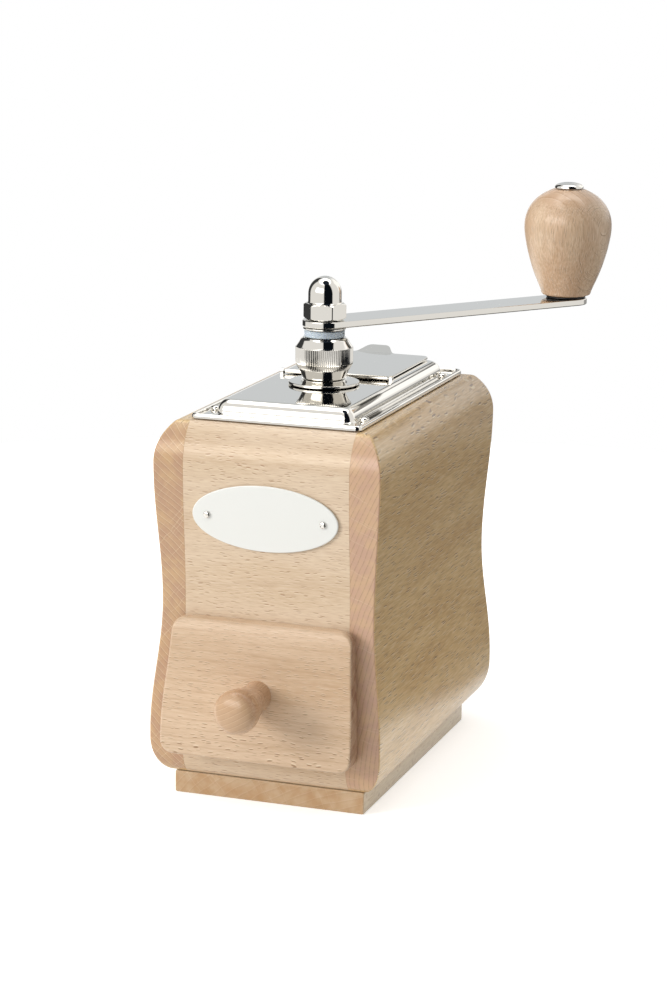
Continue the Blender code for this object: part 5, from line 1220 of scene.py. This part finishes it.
# %% Lamp
KEY_SIZE, KEY_POWER = 0.8, 25.0
KEY_PLACE = Vector((-1.45, -1.35, 0.72))
KEY_AIM = Vector((0.0, 0.0, 0.09))
lamp = bpy.data.lights.new("key_softbox", "AREA")
lamp.size = KEY_SIZE
lamp.energy = KEY_POWER
key = bpy.data.objects.new("key_softbox", lamp)
bpy.context.scene.collection.objects.link(key)
key.location = KEY_PLACE
key.rotation_euler = (KEY_AIM - KEY_PLACE).to_track_quat("-Z", "Y").to_euler()
key.visible_glossy = False
print("lamp", KEY_POWER, "W")

# %% [markdown]
# Polished metal is nothing but its surroundings, so these are built with care. Directions are worked out
# as degrees to the right of the camera and degrees up. A tall dark card stands beside the camera and
# reaches up to a dark patch overhead, which draws the dark stripe down every round metal piece. More
# cards darken their edges, a thin dark line behind the mill draws the creases of the sheet metal, and a
# grey wall there gives the flat top its tone. A softbox, a lit back wall and a bright ceiling are there
# for the varnish, which mirrors only a few hundredths of them: they draw the satin bands on the
# shoulders and on top of the crank knob.

# %% Surroundings
AMBIENT_TOP, AMBIENT_SIDE = 1.05, 0.28  # light on dull surfaces, from above and from the side
AMBIENT_FROM, AMBIENT_TO = 5.0, 45.0  # degrees up between which it grows
SHADE_SHARE = 0.66  # how much of it is missing on the right, below the lid's height
DARK_CARDS = (  # from and to: degrees to the camera's right, then degrees up; how dark
    (-7.0, 53.0, -70.0, 66.0, 1.0),
    (-162.0, -118.0, -45.0, 50.0, 0.95),
    (114.0, 163.0, -19.0, 1.0, 0.6),
    (150.0, 181.0, 17.0, 19.5, 0.85),
    (-181.0, -150.0, 17.0, 19.5, 0.3),
)
THIN_CARD = 10.0  # degrees; a card lower than this has crisper edges
OVERHEAD_AZIMUTH, OVERHEAD_RISE = radians(23), radians(78)
OVERHEAD_EDGES = (radians(21), radians(17))
GREY_WALLS = ((171.0, 1.0, 4.0, 2.0), (150.0, 30.0, 5.0, 3.0))  # off the front, up, and their soft edges
GREY_WALL_TOP = 58.0
SOFTBOX, SOFTBOX_LIGHT = (-68.0, -12.0, 10.0, 32.0), 5.5
BACK_WALL, BACK_WALL_LIGHT = (110.0, 160.0, 5.0, 45.0), 1.4
CEILING_FROM, CEILING_LIGHT = 62.0, 4.0

world = bpy.data.worlds.new("studio")
bpy.context.scene.world = world
world.use_nodes = True
world.node_tree.nodes.clear()
add = partial(put, world.node_tree)
total = partial(total_of, add)
direction = add("TexCoord")["Generated"]


def towards(azimuth, rise=0.0):
    """How far a direction points to degrees from the frame's front and up, as their cosine."""
    aim = (sin(azimuth) * cos(rise), -cos(azimuth) * cos(rise), sin(rise))
    return add("VectorMath", direction, aim, operation="DOT_PRODUCT")["Value"]


def between(value, low, high, soft):
    """1 between two values and 0 outside, with soft ends."""
    return hump(add, value, low - soft, low + soft, high - soft, high + soft)


def window_of(box, soft_aside, soft_up):
    """1 in a window of directions: from and to, degrees to the right, then degrees up."""
    left, right, low, high = box
    return total((between(rightward, left, right, soft_aside), between(raised, low, high, soft_up)))


turn = add("Math", towards(CAMERA_YAW + pi / 2), towards(CAMERA_YAW), operation="ARCTAN2")[0]
rightward = add("Math", turn, operation="DEGREES")[0]
rise = add("Math", add("SeparateXYZ", direction)["Z"], operation="ARCSINE")[0]
raised = add("Math", rise, operation="DEGREES")[0]
dark = add("MapRange", towards(CAMERA_YAW + OVERHEAD_AZIMUTH, OVERHEAD_RISE), *map(cos, OVERHEAD_EDGES), 0.0,
           1.0, **SMOOTH)[0]
for *box, share in DARK_CARDS:
    card = window_of(box, 3.0, 0.5 if box[3] - box[2] < THIN_CARD else 1.0)
    dark = add("Math", dark, total((card, share)), operation="MAXIMUM")[0]
off_front = add("Math", rightward, operation="ABSOLUTE")[0]
walls = [total((between(off_front, aside, 200.0, soft_aside), between(raised, low, GREY_WALL_TOP, soft_up)))
         for aside, low, soft_aside, soft_up in GREY_WALLS]
behind = add("Math", *walls, operation="MAXIMUM")[0]
mirrored = painted(add, rgb("#FDFCFA"), (behind, rgb("#D9DDE0")), (dark, rgb("#0E1218")))
lit_behind = add("Math", total((window_of(BACK_WALL, 6.0, 3.0), BACK_WALL_LIGHT - 1.0)),
                 total((between(raised, CEILING_FROM, 100.0, 5.0), CEILING_LIGHT - 1.0)),
                 operation="MAXIMUM")[0]
brightness = total(1.0, (window_of(SOFTBOX, 7.0, 6.0), SOFTBOX_LIGHT - 1.0), lit_behind)
in_gloss = add("Background", mirrored, brightness)[0]
print("dark cards", len(DARK_CARDS), "softbox", SOFTBOX)

# %% [markdown]
# What the polish mirrors, what lights the dull surfaces and what the camera sees behind the mill are
# three different things here, so the world picks one by the kind of ray. Its own light isn't sampled,
# because a sample has no kind and would take the wrong one.

# %% World
lifted = add("MapRange", raised, AMBIENT_FROM, AMBIENT_TO, AMBIENT_SIDE, AMBIENT_TOP, **SMOOTH)[0]
shaded = total((between(rightward, 0.0, 150.0, 25.0), between(raised, -90.0, 35.0, 10.0)))
ambient = total((lifted, total(1.0, (shaded, -SHADE_SHARE))))
dull = add("Background", rgb("#FFFFFF"), ambient)[0]
backdrop = add("Background", rgb("#FFFFFF"), 1.0)[0]
rays = add("LightPath")
clear = add("Math", rays["Is Camera Ray"], rays["Is Transmission Ray"], operation="MAXIMUM")[0]
lit = add("MixShader", rays["Is Glossy Ray"], dull, in_gloss)[0]
add("OutputWorld", add("MixShader", clear, lit, backdrop)[0])
world.cycles.sampling_method = "NONE"
bpy.context.scene.view_settings.view_transform = "Standard"
print("ambient light", AMBIENT_SIDE, "to", AMBIENT_TOP)
